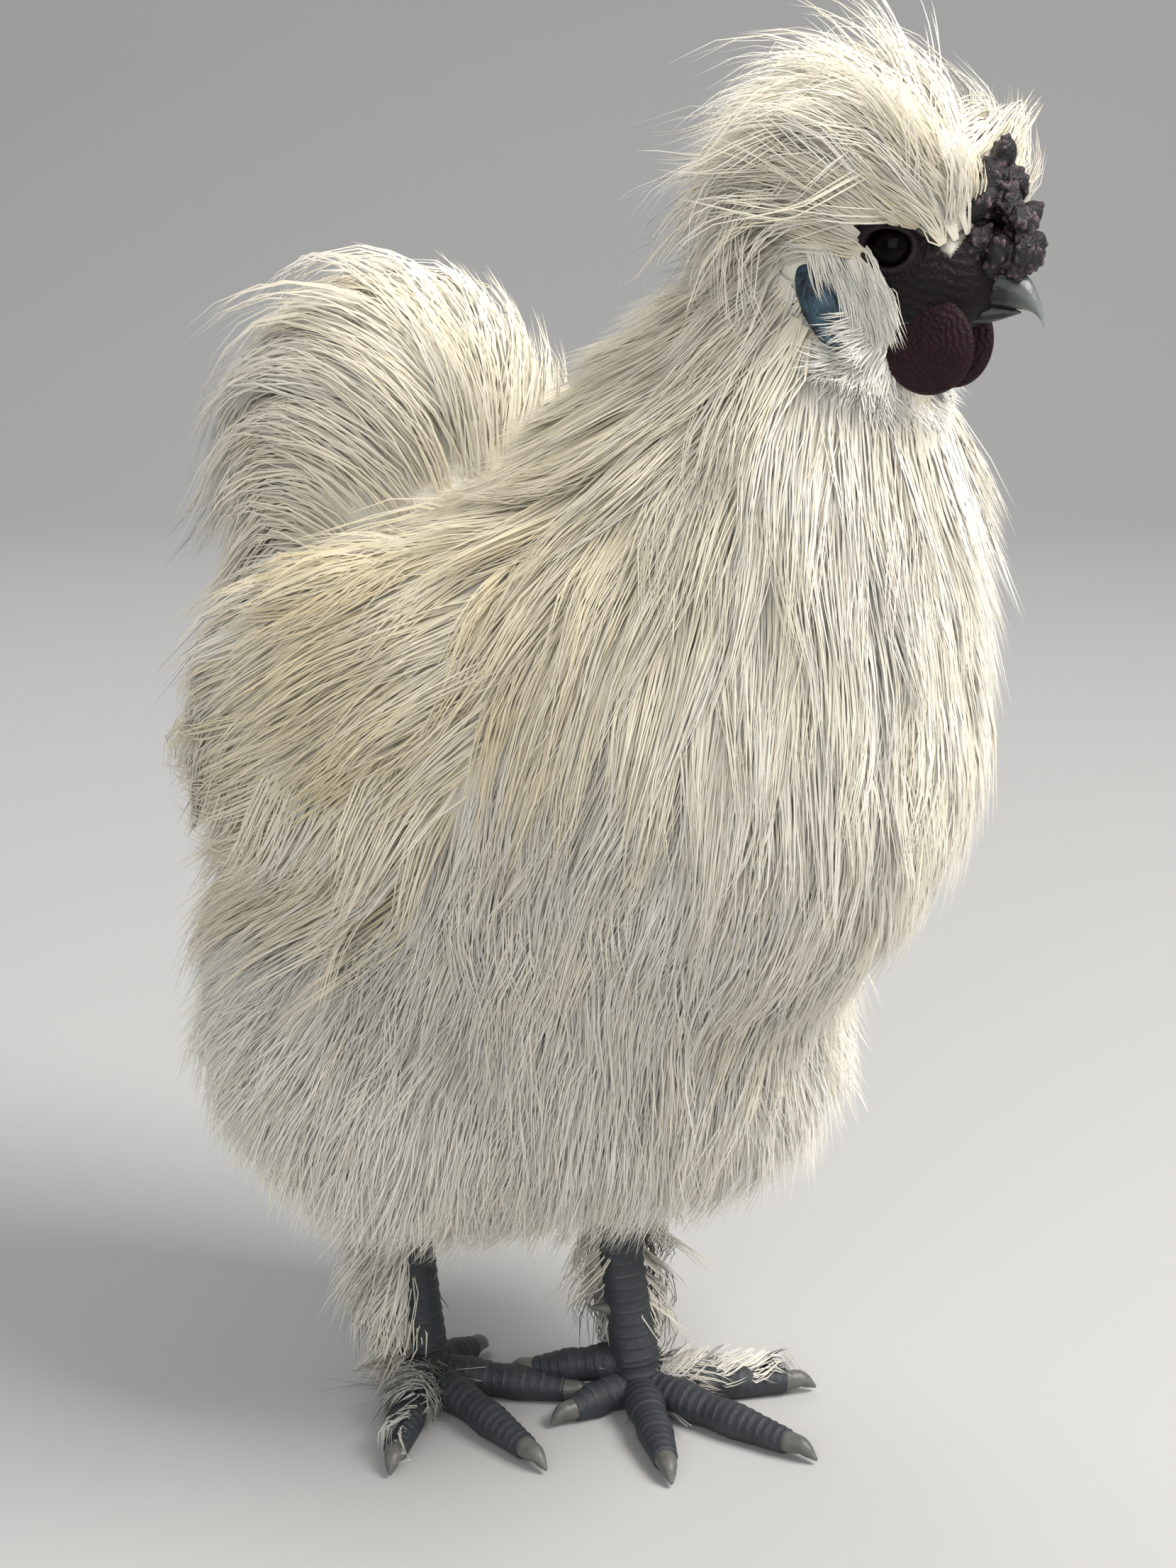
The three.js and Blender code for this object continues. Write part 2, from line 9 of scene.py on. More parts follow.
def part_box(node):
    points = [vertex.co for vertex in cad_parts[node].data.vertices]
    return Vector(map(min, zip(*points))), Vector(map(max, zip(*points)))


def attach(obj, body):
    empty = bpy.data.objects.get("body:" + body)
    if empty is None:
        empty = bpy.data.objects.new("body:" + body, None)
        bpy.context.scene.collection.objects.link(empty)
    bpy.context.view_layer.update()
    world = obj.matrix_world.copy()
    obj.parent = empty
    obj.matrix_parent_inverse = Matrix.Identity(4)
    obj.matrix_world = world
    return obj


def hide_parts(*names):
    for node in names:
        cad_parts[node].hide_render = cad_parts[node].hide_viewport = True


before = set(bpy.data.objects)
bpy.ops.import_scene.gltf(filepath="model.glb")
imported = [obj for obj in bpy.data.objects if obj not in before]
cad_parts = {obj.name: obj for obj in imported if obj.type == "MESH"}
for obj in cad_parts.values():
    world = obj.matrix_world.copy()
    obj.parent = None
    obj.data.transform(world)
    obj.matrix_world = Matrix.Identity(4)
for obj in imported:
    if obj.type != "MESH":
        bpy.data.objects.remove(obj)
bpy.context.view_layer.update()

# The body under the plumage: one skin over head, neck, trunk, wings, thighs and tail, white with
# down and mulberry black where the face is bare. It is ovals, in millimetres and degrees, that run
# together softly, and where feathers cover it the skin is set in by one to three millimetres.
SIDES = {"left": 1, "right": -1}
eyes = {side: sum(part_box(f"eye_{side}"), Vector()) / 2 for side in SIDES}
head_at = (eyes["left"] + eyes["right"]) / 2
EYES_AHEAD = 0.123
EYES_UP = 0.335
HEAD_TURN = 15
HEAD_NOD = 3
MIDDLE = head_at - Vector((EYES_AHEAD, 0, EYES_UP))
HEAD = (
    Matrix.Translation(head_at)
    @ Matrix.Rotation(math.radians(HEAD_TURN), 4, "Z")
    @ Matrix.Rotation(math.radians(HEAD_NOD), 4, "Y")
)
BODY = Matrix.Translation(MIDDLE)


def oval(at, radii, lean=0, turn=0, place=BODY):
    leaning = Matrix.Rotation(math.radians(lean), 4, "Y")
    turned = Matrix.Rotation(math.radians(turn), 4, "Z") @ leaning
    whole = place @ Matrix.Translation(Vector(at) / 1000) @ turned
    return {
        "at": np.array(whole.translation),
        "radii": np.array(radii) / 1000,
        "axes": np.array(whole.to_3x3()),
    }


FORMS = {
    "skull": oval((-7, 0, -3), (26, 16, 16), place=HEAD),
    "face": oval((6, 0, -7), (17, 12.5, 12), place=HEAD),
    "throat": oval((-6, 0, -20), (20, 14, 14), place=HEAD),
    "crest": oval((-9, 0, 15), (25, 22, 15.5), place=HEAD),
    "hindhead": oval((-22, 0, -5), (17, 18.5, 18), place=HEAD),
    "nape": oval((90, 0, 288), (31, 30, 39), 27),
    "neck": oval((70, 0, 246), (56, 54, 62), 27),
    "breast": oval((56, 0, 206), (72, 64, 68)),
    "back": oval((-14, 0, 198), (86, 60, 56), -6),
    "belly": oval((-8, 0, 130), (82, 58, 64)),
    "tail": oval((-46, 0, 266), (38, 38, 50), 8),
}
for side, sign in SIDES.items():
    FORMS[f"wing_{side}"] = oval((6, sign * 60, 222), (62, 15, 36), -12, -sign * 4)
    FORMS[f"thigh_{side}"] = oval((sign * 21.9, sign * 38, 117), (47, 36, 48))


def height(names, spots, blend=0.03):
    over = None
    for name in names:
        form = FORMS[name]
        off = spots - form["at"]
        reach = np.linalg.norm(off @ form["axes"] / form["radii"], axis=1).clip(1e-6)
        lift = (reach - 1) * np.linalg.norm(off, axis=1) / reach
        if over is None:
            over = lift
            continue
        near = (1 - np.abs(over - lift) / blend).clip(0)
        over = np.minimum(over, lift) - near**2 * blend / 4
    return over


def outward(names, spots, blend=0.03):
    steps = np.eye(3) * 0.0005
    slope = [height(names, spots + step, blend) - height(names, spots - step, blend) for step in steps]
    slope = np.stack(slope, 1)
    return slope / np.linalg.norm(slope, axis=1)[:, None].clip(1e-9)


def in_head(spots):
    place = np.array(HEAD.inverted())
    return (spots @ place[:3, :3].T + place[:3, 3]) * 1000


def points_of(mesh):
    spots = np.empty(len(mesh.vertices) * 3, np.float32)
    mesh.vertices.foreach_get("co", spots)
    return spots.reshape(-1, 3).astype(float)


def set_points(mesh, spots):
    mesh.vertices.foreach_set("co", spots.astype(np.float32).ravel())
    mesh.update()


def mark(mesh, name, values):
    if name not in mesh.attributes:
        mesh.attributes.new(name, "FLOAT", "POINT")
    mesh.attributes[name].data.foreach_set("value", np.asarray(values, np.float32))


def finished(bm, name, material):
    mesh = bpy.data.meshes.new(name)
    bmesh.ops.recalc_face_normals(bm, faces=bm.faces)
    bm.to_mesh(mesh)
    bm.free()
    piece = bpy.data.objects.new(name, mesh)
    bpy.context.scene.collection.objects.link(piece)
    mesh.materials.append(material)
    mesh.polygons.foreach_set("use_smooth", [True] * len(mesh.polygons))
    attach(piece, "root")
    return piece


def made_one(piece, voxel):
    modifier = piece.modifiers.new("one", "REMESH")
    modifier.mode = "VOXEL"
    modifier.voxel_size = voxel
    seen = piece.evaluated_get(bpy.context.evaluated_depsgraph_get())
    whole = bpy.data.meshes.new_from_object(seen)
    piece.modifiers.clear()
    if not whole.materials:
        whole.materials.append(piece.data.materials[0])
    piece.data = whole
    whole.polygons.foreach_set("use_smooth", [True] * len(whole.polygons))


def srgb(red, green, blue):
    shares = [c / 255 for c in (red, green, blue)]
    return tuple(((c + 0.055) / 1.055) ** 2.4 if c > 0.04 else c / 12.92 for c in shares) + (1,)


def principled(name, **sockets):
    material = bpy.data.materials.new(name)
    material.use_nodes = True
    shader = material.node_tree.nodes["Principled BSDF"]
    for socket, value in sockets.items():
        shader.inputs[socket.replace("_", " ")].default_value = value
    return material


def add(material, kind, links=(), settings=(), **values):
    new = material.node_tree.nodes.new(kind)
    for key, value in dict(settings).items():
        setattr(new, key, value)
    for socket, value in values.items():
        new.inputs[socket].default_value = value
    for socket, source in dict(links).items():
        material.node_tree.links.new(source, new.inputs[socket])
    return new


def share_of(material, name):
    return add(material, "ShaderNodeAttribute", settings={"attribute_name": name}).outputs["Fac"]


def grain(material, scale, detail=3):
    spot = add(material, "ShaderNodeTexCoord").outputs["Object"]
    return add(material, "ShaderNodeTexNoise", {"Vector": spot}, Scale=scale, Detail=detail).outputs["Fac"]


def between(material, share, low, high, blend="MIX"):
    mix = add(material, "ShaderNodeMix", settings={"data_type": "RGBA", "blend_type": blend})
    for slot, value in ((0, share), (6, low), (7, high)):
        if isinstance(value, bpy.types.NodeSocket):
            material.node_tree.links.new(value, mix.inputs[slot])
        else:
            mix.inputs[slot].default_value = value
    return mix.outputs[2]


def steeper(material, source, low, high):
    span = add(material, "ShaderNodeMapRange", {"Value": source})
    span.inputs["From Min"].default_value = low
    span.inputs["From Max"].default_value = high
    return span.outputs[0]


def painted(material, colour, relief=None, distance=0.0003):
    shader = material.node_tree.nodes["Principled BSDF"]
    material.node_tree.links.new(colour, shader.inputs["Base Color"])
    if relief is not None:
        bump = add(material, "ShaderNodeBump", {"Height": relief}, Distance=distance)
        material.node_tree.links.new(bump.outputs[0], shader.inputs["Normal"])


bm = bmesh.new()
for form in FORMS.values():
    place = Matrix(form["axes"].tolist()).to_4x4() @ Matrix.Diagonal((*form["radii"], 1))
    place.translation = form["at"]
    bmesh.ops.create_icosphere(bm, subdivisions=4, radius=1, matrix=place)
skin_and_down = principled("skin_and_down", Roughness=0.55, Specular_IOR_Level=0.2)
skin = finished(bm, "skin", skin_and_down)
SKIN_VOXEL = 0.0019
made_one(skin, SKIN_VOXEL)


def bare_share(local):
    x, y, z = local.T
    top = np.interp(x, [-13, -8, 0, 5.4, 10, 13.6, 15, 16, 17], [4, 6.4, 6.8, 5.3, 2.5, -0.4, 4, 11, 18])
    rear = np.interp(z, [-24, -17, -9.6, -2.3, 4.3, 8], [1.6, -0.5, -5, -10.5, -13, -14])
    low = np.interp(x, [-6, 4, 14, 24], [-17, -18, -19, -18])
    return ((x - rear) / 1.6).clip(0, 1) * ((top - z) / 1.2).clip(0, 1) * ((z - low) / 1.6).clip(0, 1)


def skin_place(spots):
    local = in_head(spots)
    far = np.linalg.norm(local - (0, 0, -6), axis=1)
    blend = np.interp(far, [30, 75], [0.007, 0.03])
    depth = np.interp(far, [30, 60], [0.0014, 0.0028]) * (1 - bare_share(local))
    for settle in range(3):
        up = outward(FORMS, spots, blend)
        spots = spots - up * (height(FORMS, spots, blend) + depth)[:, None]
    return spots, up


spots, up = skin_place(points_of(skin.data))
set_points(skin.data, spots)
bare = bare_share(in_head(spots))
bm = bmesh.new()
bm.from_mesh(skin.data)
bm.verts.ensure_lookup_table()
near_face = [edge for edge in bm.edges if max(bare[vert.index] for vert in edge.verts) > 0.01]
bmesh.ops.subdivide_edges(bm, edges=near_face, cuts=3, use_grid_fill=True)
bmesh.ops.triangulate(bm, faces=[face for face in bm.faces if len(face.verts) > 4])
bm.to_mesh(skin.data)
bm.free()
spots, up = skin_place(points_of(skin.data))
local = in_head(spots)
bare = bare_share(local)
x, y, z = local.T
ring = np.hypot(x / 1.1, z / 0.92)
lid = 1.3 * np.exp(-(((ring - 5.4) / 0.9) ** 2))
second = 0.45 * np.exp(-(((ring - 8) / 0.7) ** 2)) * (z < 5)
socket = -6 * ((4.7 - ring) / 0.6).clip(0, 1)
folds = 0.16 * np.sin(ring * 3.4 + 0.9 * np.sin(x * 1.3)) * np.exp(-(((ring - 10) / 4) ** 2))
creases = 0.14 * np.sin(z * 2.6 + 0.5 * x + np.sin(x * 0.9)) * (x > 5)
swell = (lid + second + socket + folds * (ring > 6.5) + creases) * bare / 1000
set_points(skin.data, spots + up * swell[:, None])
mark(skin.data, "bare", bare)
mark(skin.data, "lid", np.exp(-(((ring - 5.6) / 1) ** 2)) * bare)
dark = between(skin_and_down, grain(skin_and_down, 240, 4), srgb(8, 6, 8), srgb(29, 19, 22))
dark = between(skin_and_down, share_of(skin_and_down, "lid"), dark, srgb(38, 27, 31))
down = between(skin_and_down, grain(skin_and_down, 40), srgb(214, 206, 186), srgb(236, 231, 217))
pores = add(
    skin_and_down,
    "ShaderNodeTexVoronoi",
    {"Vector": add(skin_and_down, "ShaderNodeTexCoord").outputs["Object"]},
    {"feature": "DISTANCE_TO_EDGE"},
    Scale=780,
).outputs["Distance"]
relief = between(skin_and_down, 0.45, pores, grain(skin_and_down, 1100))
colour = between(skin_and_down, share_of(skin_and_down, "bare"), down, dark)
painted(skin_and_down, colour, relief, 0.0007)
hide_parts("head", "neck", "torso", "tail", "crest")
for side in SIDES:
    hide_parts(f"wing_{side}", f"thigh_{side}")
bpy.context.view_layer.objects.active = skin
skin.select_set(True)
bpy.ops.object.mode_set(mode="EDIT")
bpy.ops.mesh.select_all(action="SELECT")
bpy.ops.uv.smart_project(angle_limit=math.radians(66), island_margin=0.002)
bpy.ops.object.mode_set(mode="OBJECT")
skin.data.uv_layers[0].name = "OFBake"

# Hackle: the cape of long soft plumes from the back of the head over neck and shoulders. A silkie's
# barbs don't hook together, so each plume is a fan of loose closed strands along one bent quill,
# rooted in the skin and resting on the plumes below it.
skin.data.calc_loop_triangles()
corners = np.empty(len(skin.data.loop_triangles) * 3, np.int32)
skin.data.loop_triangles.foreach_get("vertices", corners)
loops = np.empty_like(corners)
skin.data.loop_triangles.foreach_get("loops", loops)
unwrap = np.empty(len(skin.data.loops) * 2, np.float32)
skin.data.uv_layers["OFBake"].data.foreach_get("uv", unwrap)
patch_corners = points_of(skin.data)[corners.reshape(-1, 3)]
patch_unwrap = unwrap.reshape(-1, 2)[loops.reshape(-1, 3)]
patch_middle = patch_corners.mean(1)
arms = patch_corners[:, 1:] - patch_corners[:, :1]
patch_area = np.linalg.norm(np.cross(arms[:, 0], arms[:, 1]), axis=1)
local = in_head(patch_middle)
under_tuft = (local[:, 0] < 0) & (bare_share(local - (5, 0, 0)) < 0.6) & (local[:, 2] < 3)
patch_area *= (bare_share(local) < 0.6) | under_tuft
heights = np.stack([height([name], patch_middle) for name in FORMS])
patch_owner = np.array(list(FORMS))[np.argmin(heights, axis=0)]


def roots_on(names, count, dice, where):
    weight = patch_area * np.isin(patch_owner, names) * where(patch_middle)
    chosen = dice.choice(len(weight), count, p=weight / weight.sum())
    share = dice.dirichlet((1, 1, 1), count)[:, :, None]
    return (patch_corners[chosen] * share).sum(1), (patch_unwrap[chosen] * share).sum(1)


def quills(roots, over, lie, length, rise, joints, sway, curl, blend, sink):
    spots = roots - outward(over, roots, blend) * height(over, roots, blend)[:, None]
    path = []
    ups = []
    for step in range(joints + 1):
        share = step / joints
        up = outward(over, spots, blend)
        path.append(spots + up * ((rise + sink) * share**0.8 - sink)[:, None])
        ups.append(up)
        way = lie(spots)
        way = way - up * (way * up).sum(1)[:, None]
        way = way / np.linalg.norm(way, axis=1)[:, None].clip(1e-9)
        way = way + np.cross(up, way) * (sway + curl * share)[:, None]
        spots = spots + way * (length / joints)[:, None]
        spots = spots - up * height(over, spots, blend)[:, None]
    return np.stack(path, 1), np.stack(ups, 1)


def strand_mesh(name, rim, tip, lean, tile, patches, tone_and_shade, warm):
    count, rings = rim.shape[:2]
    per = rings * 3 + 1
    whole = np.concatenate([rim.reshape(count, -1, 3), tip[:, None]], 1)
    sides = [(0, 1), (1, 2), (2, 0)]
    last = 3 * rings - 3
    faces = [(low + b, low + a, low + 3 + a, low + 3 + b) for low in range(0, last, 3) for a, b in sides]
    faces += [(last + b, last + a, per - 1) for a, b in sides] + [(0, 1, 2)]
    order = np.array([vert for face in faces for vert in face])
    sizes = np.array([len(face) for face in faces])
    starts = np.concatenate([[0], np.cumsum(sizes)[:-1]])
    strand = np.arange(count)[:, None]
    mesh = bpy.data.meshes.new(name)
    mesh.vertices.add(count * per)
    mesh.vertices.foreach_set("co", whole.astype(np.float32).ravel())
    mesh.loops.add(count * len(order))
    mesh.loops.foreach_set("vertex_index", (strand * per + order).astype(np.int32).ravel())
    mesh.polygons.add(count * len(sizes))
    mesh.polygons.foreach_set("loop_start", (strand * len(order) + starts).astype(np.int32).ravel())
    mesh.polygons.foreach_set("use_smooth", np.ones(count * len(sizes), bool))
    mesh.update(calc_edges=True)
    unwrap = patches[:, None] + tile[order][None]
    mesh.uv_layers.new(name="OFBake").data.foreach_set("uv", unwrap.clip(0, 1).astype(np.float32).ravel())
    mark(mesh, "tone_and_shade", tone_and_shade.ravel())
    mark(mesh, "warm", warm.ravel())
    soft = mesh.attributes.new("custom_normal", "FLOAT_VECTOR", "POINT")
    soft.data.foreach_set("vector", lean.astype(np.float32).ravel())
    return mesh


silk = principled(
    "silky_plumage", Roughness=0.5, Sheen_Weight=0.3, Sheen_Roughness=0.45, Specular_IOR_Level=0.3
)
cream = between(silk, share_of(silk, "warm"), srgb(240, 238, 230), srgb(240, 223, 182))
cloud = between(silk, grain(silk, 22), (0.95, 0.95, 0.94, 1), (1.03, 1.02, 1.01, 1))
# The cream is scaled by each strand's tone, which holds random tone and painted shade towards the root.
toned = add(silk, "ShaderNodeVectorMath", {0: cream}, {"operation": "SCALE"})
silk.node_tree.links.new(share_of(silk, "tone_and_shade"), toned.inputs["Scale"])
painted(silk, between(silk, 1.0, toned.outputs[0], cloud, "MULTIPLY"))


TUFT_PATCH = 0.003
FLOOR_GAP = 0.0007


def plumes(
    name, roots, patches, over, lie, length, rise, dice, barbs=8, joints=3, breadth=0.0045, tip=0.8,
    thick=0.0003, sway=0.1, curl=0.1, loose=0.001, warm=0.4, blend=0.03, locks=0, gather=0.5, bright=1,
    sink=0.006,
):
    count = len(roots)
    turn = dice.normal(0, sway, count)
    curls = dice.normal(0, curl, count)
    path, ups = quills(roots, over, lie, length, rise, joints, turn, curls, blend, sink)
    if locks:
        leaders = dice.choice(count, locks, replace=False)
        gaps = np.linalg.norm(roots[:, None] - roots[None, leaders], axis=2)
        leader = leaders[np.argmin(gaps, axis=1)]
        path = path + (path[leader] - path) * (gather * np.linspace(0, 1, joints + 1) ** 1.3)[:, None]
    ahead = np.gradient(path, axis=1)
    ahead /= np.linalg.norm(ahead, axis=2)[:, :, None].clip(1e-9)
    side = np.cross(ahead, ups)
    side /= np.linalg.norm(side, axis=2)[:, :, None].clip(1e-9)
    lift = np.cross(side, ahead)
    aside = np.linspace(-1, 1, barbs)[None, :] + dice.normal(0, 0.2, (count, barbs))
    reach = 1 - 0.2 * aside**2 - dice.uniform(0, 0.28, (count, barbs))
    share = np.linspace(0, 1, joints + 1)
    along = reach[:, :, None].clip(0.4, 1) * share * joints
    low = np.minimum(along.astype(int), joints - 1)
    part = (along - low)[..., None]
    plume = np.arange(count)[:, None, None]
    centre = path[plume, low] * (1 - part) + path[plume, low + 1] * part
    across = side[plume, low] * (1 - part) + side[plume, low + 1] * part
    above = lift[plume, low] * (1 - part) + lift[plume, low + 1] * part
    broad = aside[:, :, None] * breadth * np.interp(share, [0, 0.35, 1], [0.3, 1, tip])
    slip = dice.normal(0, loose, (count, barbs, 1)) * share**1.5
    drop = dice.normal(0, loose, (count, barbs, 1)) * share
    centre = centre + across * (broad + slip)[..., None] + above * drop[..., None]
    centre[..., 2] = centre[..., 2].clip(FLOOR_GAP)
    slender = np.interp(share, [0, 0.35, 0.75, 1], [1.7, 1.15, 0.7, 0])
    fine = np.broadcast_to(thick, count)[:, None, None] * dice.uniform(0.7, 1.3, (count, barbs, 1)) * slender
    rim = []
    lean = []
    for angle in (90, 210, 330):
        wide = math.cos(math.radians(angle))
        high = math.sin(math.radians(angle))
        rim.append(centre + across * (fine * wide)[..., None] + above * (fine * high)[..., None])
        lean.append(above + across * wide * 0.45 + above * high * 0.3)
    rim = np.stack(rim, 3)[:, :, :-1].reshape(count * barbs, joints, 3, 3)
    lean = np.stack(lean, 3)[:, :, :-1].reshape(count * barbs, joints * 3, 3)
    lean = np.concatenate([lean, above[:, :, -1].reshape(-1, 1, 3)], 1)
    lean /= np.linalg.norm(lean, axis=2)[:, :, None].clip(1e-9)
    ring_of = np.array([min(vert // 3, joints) for vert in range(joints * 3 + 1)])
    tile = np.stack([np.arange(joints * 3 + 1) % 3 / 3 - 0.33, ring_of / joints - 0.5], 1) * TUFT_PATCH
    tone_and_shade = np.repeat(dice.normal(bright, 0.05, count), barbs) + dice.normal(0, 0.03, count * barbs)
    facet = dice.normal(0, 0.035, (count * barbs, 3))[:, np.arange(joints * 3 + 1) % 3]
    # Each strand is painted darker towards its root as painted shade, where it lies deep in the coat, and a
    # little lighter at its tip as painted light, on top of its random tone.
    tone_and_shade = (tone_and_shade[:, None] + facet) * np.interp(ring_of / joints, [0, 0.45, 1], [0.9, 1, 1.03])
    warmth = np.repeat(np.broadcast_to(warm, count) + dice.normal(0, 0.12, count), barbs)
    warmth = np.broadcast_to(warmth[:, None], tone_and_shade.shape).clip(0, 1)
    ends = centre[:, :, -1].reshape(-1, 3)
    patches = np.repeat(patches, barbs, 0)[:, None]
    mesh = strand_mesh(name, rim, ends, lean, tile, patches, tone_and_shade.clip(0, 1.12), warmth)
    mesh.materials.append(silk)
    piece = bpy.data.objects.new(name, mesh)
    bpy.context.scene.collection.objects.link(piece)
    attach(piece, "root")
    return piece


def on_side(spots, sign):
    return (spots[:, 1] - MIDDLE.y) * sign > 0


def past_lobe(x, z):
    return (x + 15) * 0.81 + (z + 14) * 0.59


def towards(x, y, z):
    return lambda spots: np.broadcast_to(np.array((x, y, z), float), spots.shape)


def in_body(spots):
    return (spots - np.array(MIDDLE)) * 1000


def hackle_lie(spots):
    x, y, z = in_body(spots).T
    back = np.interp(x - (z - 246) * 0.5, [10, 95], [0.8, 0.1])
    return np.stack([-back, np.zeros(len(x)), -np.ones(len(x))], 1)


SHOULDERS = ["hindhead", "nape", "throat", "neck", "breast", "back", "wing_left", "wing_right"]
for side, sign in SIDES.items():
    dice = np.random.default_rng(31 + sign)

    def hackle_skin(spots):
        x, y, z = in_head(spots).T
        behind_lobe = (past_lobe(x, z) < -5) & (x < -14)
        return (((x < -25) | behind_lobe) & (z < 6) | (z < -29) & (x < 6) | (z < -36)) & on_side(spots, sign)

    upper = roots_on(["nape", "hindhead", "throat", "skull"], 380, dice, hackle_skin)
    lower = roots_on(["neck"], 620, dice, hackle_skin)
    roots, patches = (np.concatenate(both) for both in zip(upper, lower))
    x, y, z = in_body(roots).T
    length = np.interp(z, [200, 260, 330], [0.05, 0.06, 0.046]) * dice.uniform(0.85, 1.15, len(roots))
    rise = np.interp(z, [200, 260, 325], [0.013, 0.009, 0.012]) * dice.uniform(0.5, 1.4, len(roots))
    # The hackle is painted a little darker towards the front of the neck, as painted shade.
    plumes(
        f"hackle_{side}", roots, patches, SHOULDERS, hackle_lie, length, rise, dice, barbs=9, breadth=0.004,
        tip=0.4, thick=np.interp(z, [250, 320], [0.00027, 0.00019]), sway=0.08, curl=0.14, loose=0.0009,
        warm=np.interp(x, [70, 112], [0.78, 0.28]), locks=170, gather=0.72,
        bright=np.interp(x, [60, 105], [1, 0.93]),
    )

# Breast and belly: softer, shorter plumes that lie down and back over one another, longest on the
# breast, and end in loose fluff between the legs.
TRUNK = ["neck", "breast", "back", "belly", "wing_left", "wing_right", "thigh_left", "thigh_right"]
for side, sign in SIDES.items():
    dice = np.random.default_rng(61 + sign)

    def same_side(spots):
        return on_side(spots, sign)

    def breast_skin(spots):
        return same_side(spots) & (in_body(spots)[:, 2] < 240)

    count = 460
    roots, patches = roots_on(["breast"], count, dice, breast_skin)
    rise = np.interp(in_body(roots)[:, 2], [150, 200], [0.016, 0.009]) * dice.uniform(0.5, 1.3, count)
    plumes(
        f"breast_{side}", roots, patches, TRUNK, towards(-0.3, 0, -1), dice.uniform(0.036, 0.054, count),
        rise, dice, barbs=9, breadth=0.005, tip=0.6, curl=0.35, loose=0.0014, warm=0.26, thick=0.00024,
        locks=80, gather=0.62, bright=0.95,
    )
    count = 500
    roots, patches = roots_on(["belly"], count, dice, same_side)
    low = np.interp(in_body(roots)[:, 2], [140, 180], [1, 0.45])
    plumes(
        f"belly_{side}", roots, patches, TRUNK, towards(-0.35, 0, -1), dice.uniform(0.022, 0.036, count),
        low * dice.uniform(0.009, 0.019, count), dice, barbs=12, joints=2, breadth=0.0055, tip=1.2,
        thick=0.00021, sway=0.2, curl=0.3, loose=0.0022, warm=0.2, locks=110, gather=0.35, bright=0.94,
    )

# Back and saddle: plumes that sweep back and fall over the flanks, longest to the rear, where some
# spread level over the root of the tail.
for side, sign in SIDES.items():
    dice = np.random.default_rng(67 + sign)

    def saddle_skin(spots):
        x, y, z = in_body(spots).T
        return on_side(spots, sign) & (abs(z - 232) < 22) & (x < -15)

    count = 380
    roots, patches = roots_on(["back"], count, dice, lambda spots: on_side(spots, sign))
    long = np.interp(in_body(roots)[:, 0], [-90, 20], [0.066, 0.046]) * dice.uniform(0.85, 1.15, count)
    plumes(
        f"back_{side}", roots, patches, TRUNK + ["tail"], towards(-0.9, sign * 0.2, -0.9), long,
        dice.uniform(0.007, 0.018, count), dice, breadth=0.005, tip=0.7, thick=0.00026, curl=0.2,
        loose=0.0016, warm=0.5, locks=80, gather=0.55,
    )
    count = 100
    roots, patches = roots_on(["back", "tail"], count, dice, saddle_skin)
    plumes(
        f"saddle_{side}", roots, patches, TRUNK + ["tail"], towards(-1, sign * 0.35, -0.3),
        dice.uniform(0.052, 0.072, count), dice.uniform(0.012, 0.026, count), dice, barbs=9, joints=4,
        breadth=0.0045, tip=0.6, thick=0.00024, curl=0.25, loose=0.0014, warm=0.5, locks=24, gather=0.6,
    )

# Thighs: short dense fluff that hides the leg down to the hock. Its plumes are rooted all round the
# thigh and hang loose, broadest at their ends.
def anywhere(spots):
    return np.ones(len(spots))


for side, sign in SIDES.items():
    dice = np.random.default_rng(72 + sign)
    count = 400
    roots, patches = roots_on([f"thigh_{side}"], count, dice, anywhere)
    low = np.interp(in_body(roots)[:, 2], [125, 165], [1, 0.45])
    plumes(
        f"thigh_{side}_fluff", roots, patches, TRUNK, towards(-0.45, 0, -1),
        dice.uniform(0.022, 0.036, count), low * dice.uniform(0.009, 0.019, count), dice, barbs=12, joints=2,
        breadth=0.0055, tip=1.2, thick=0.00021, sway=0.2, curl=0.3, loose=0.0022, warm=0.18, locks=80,
        gather=0.35,
    )

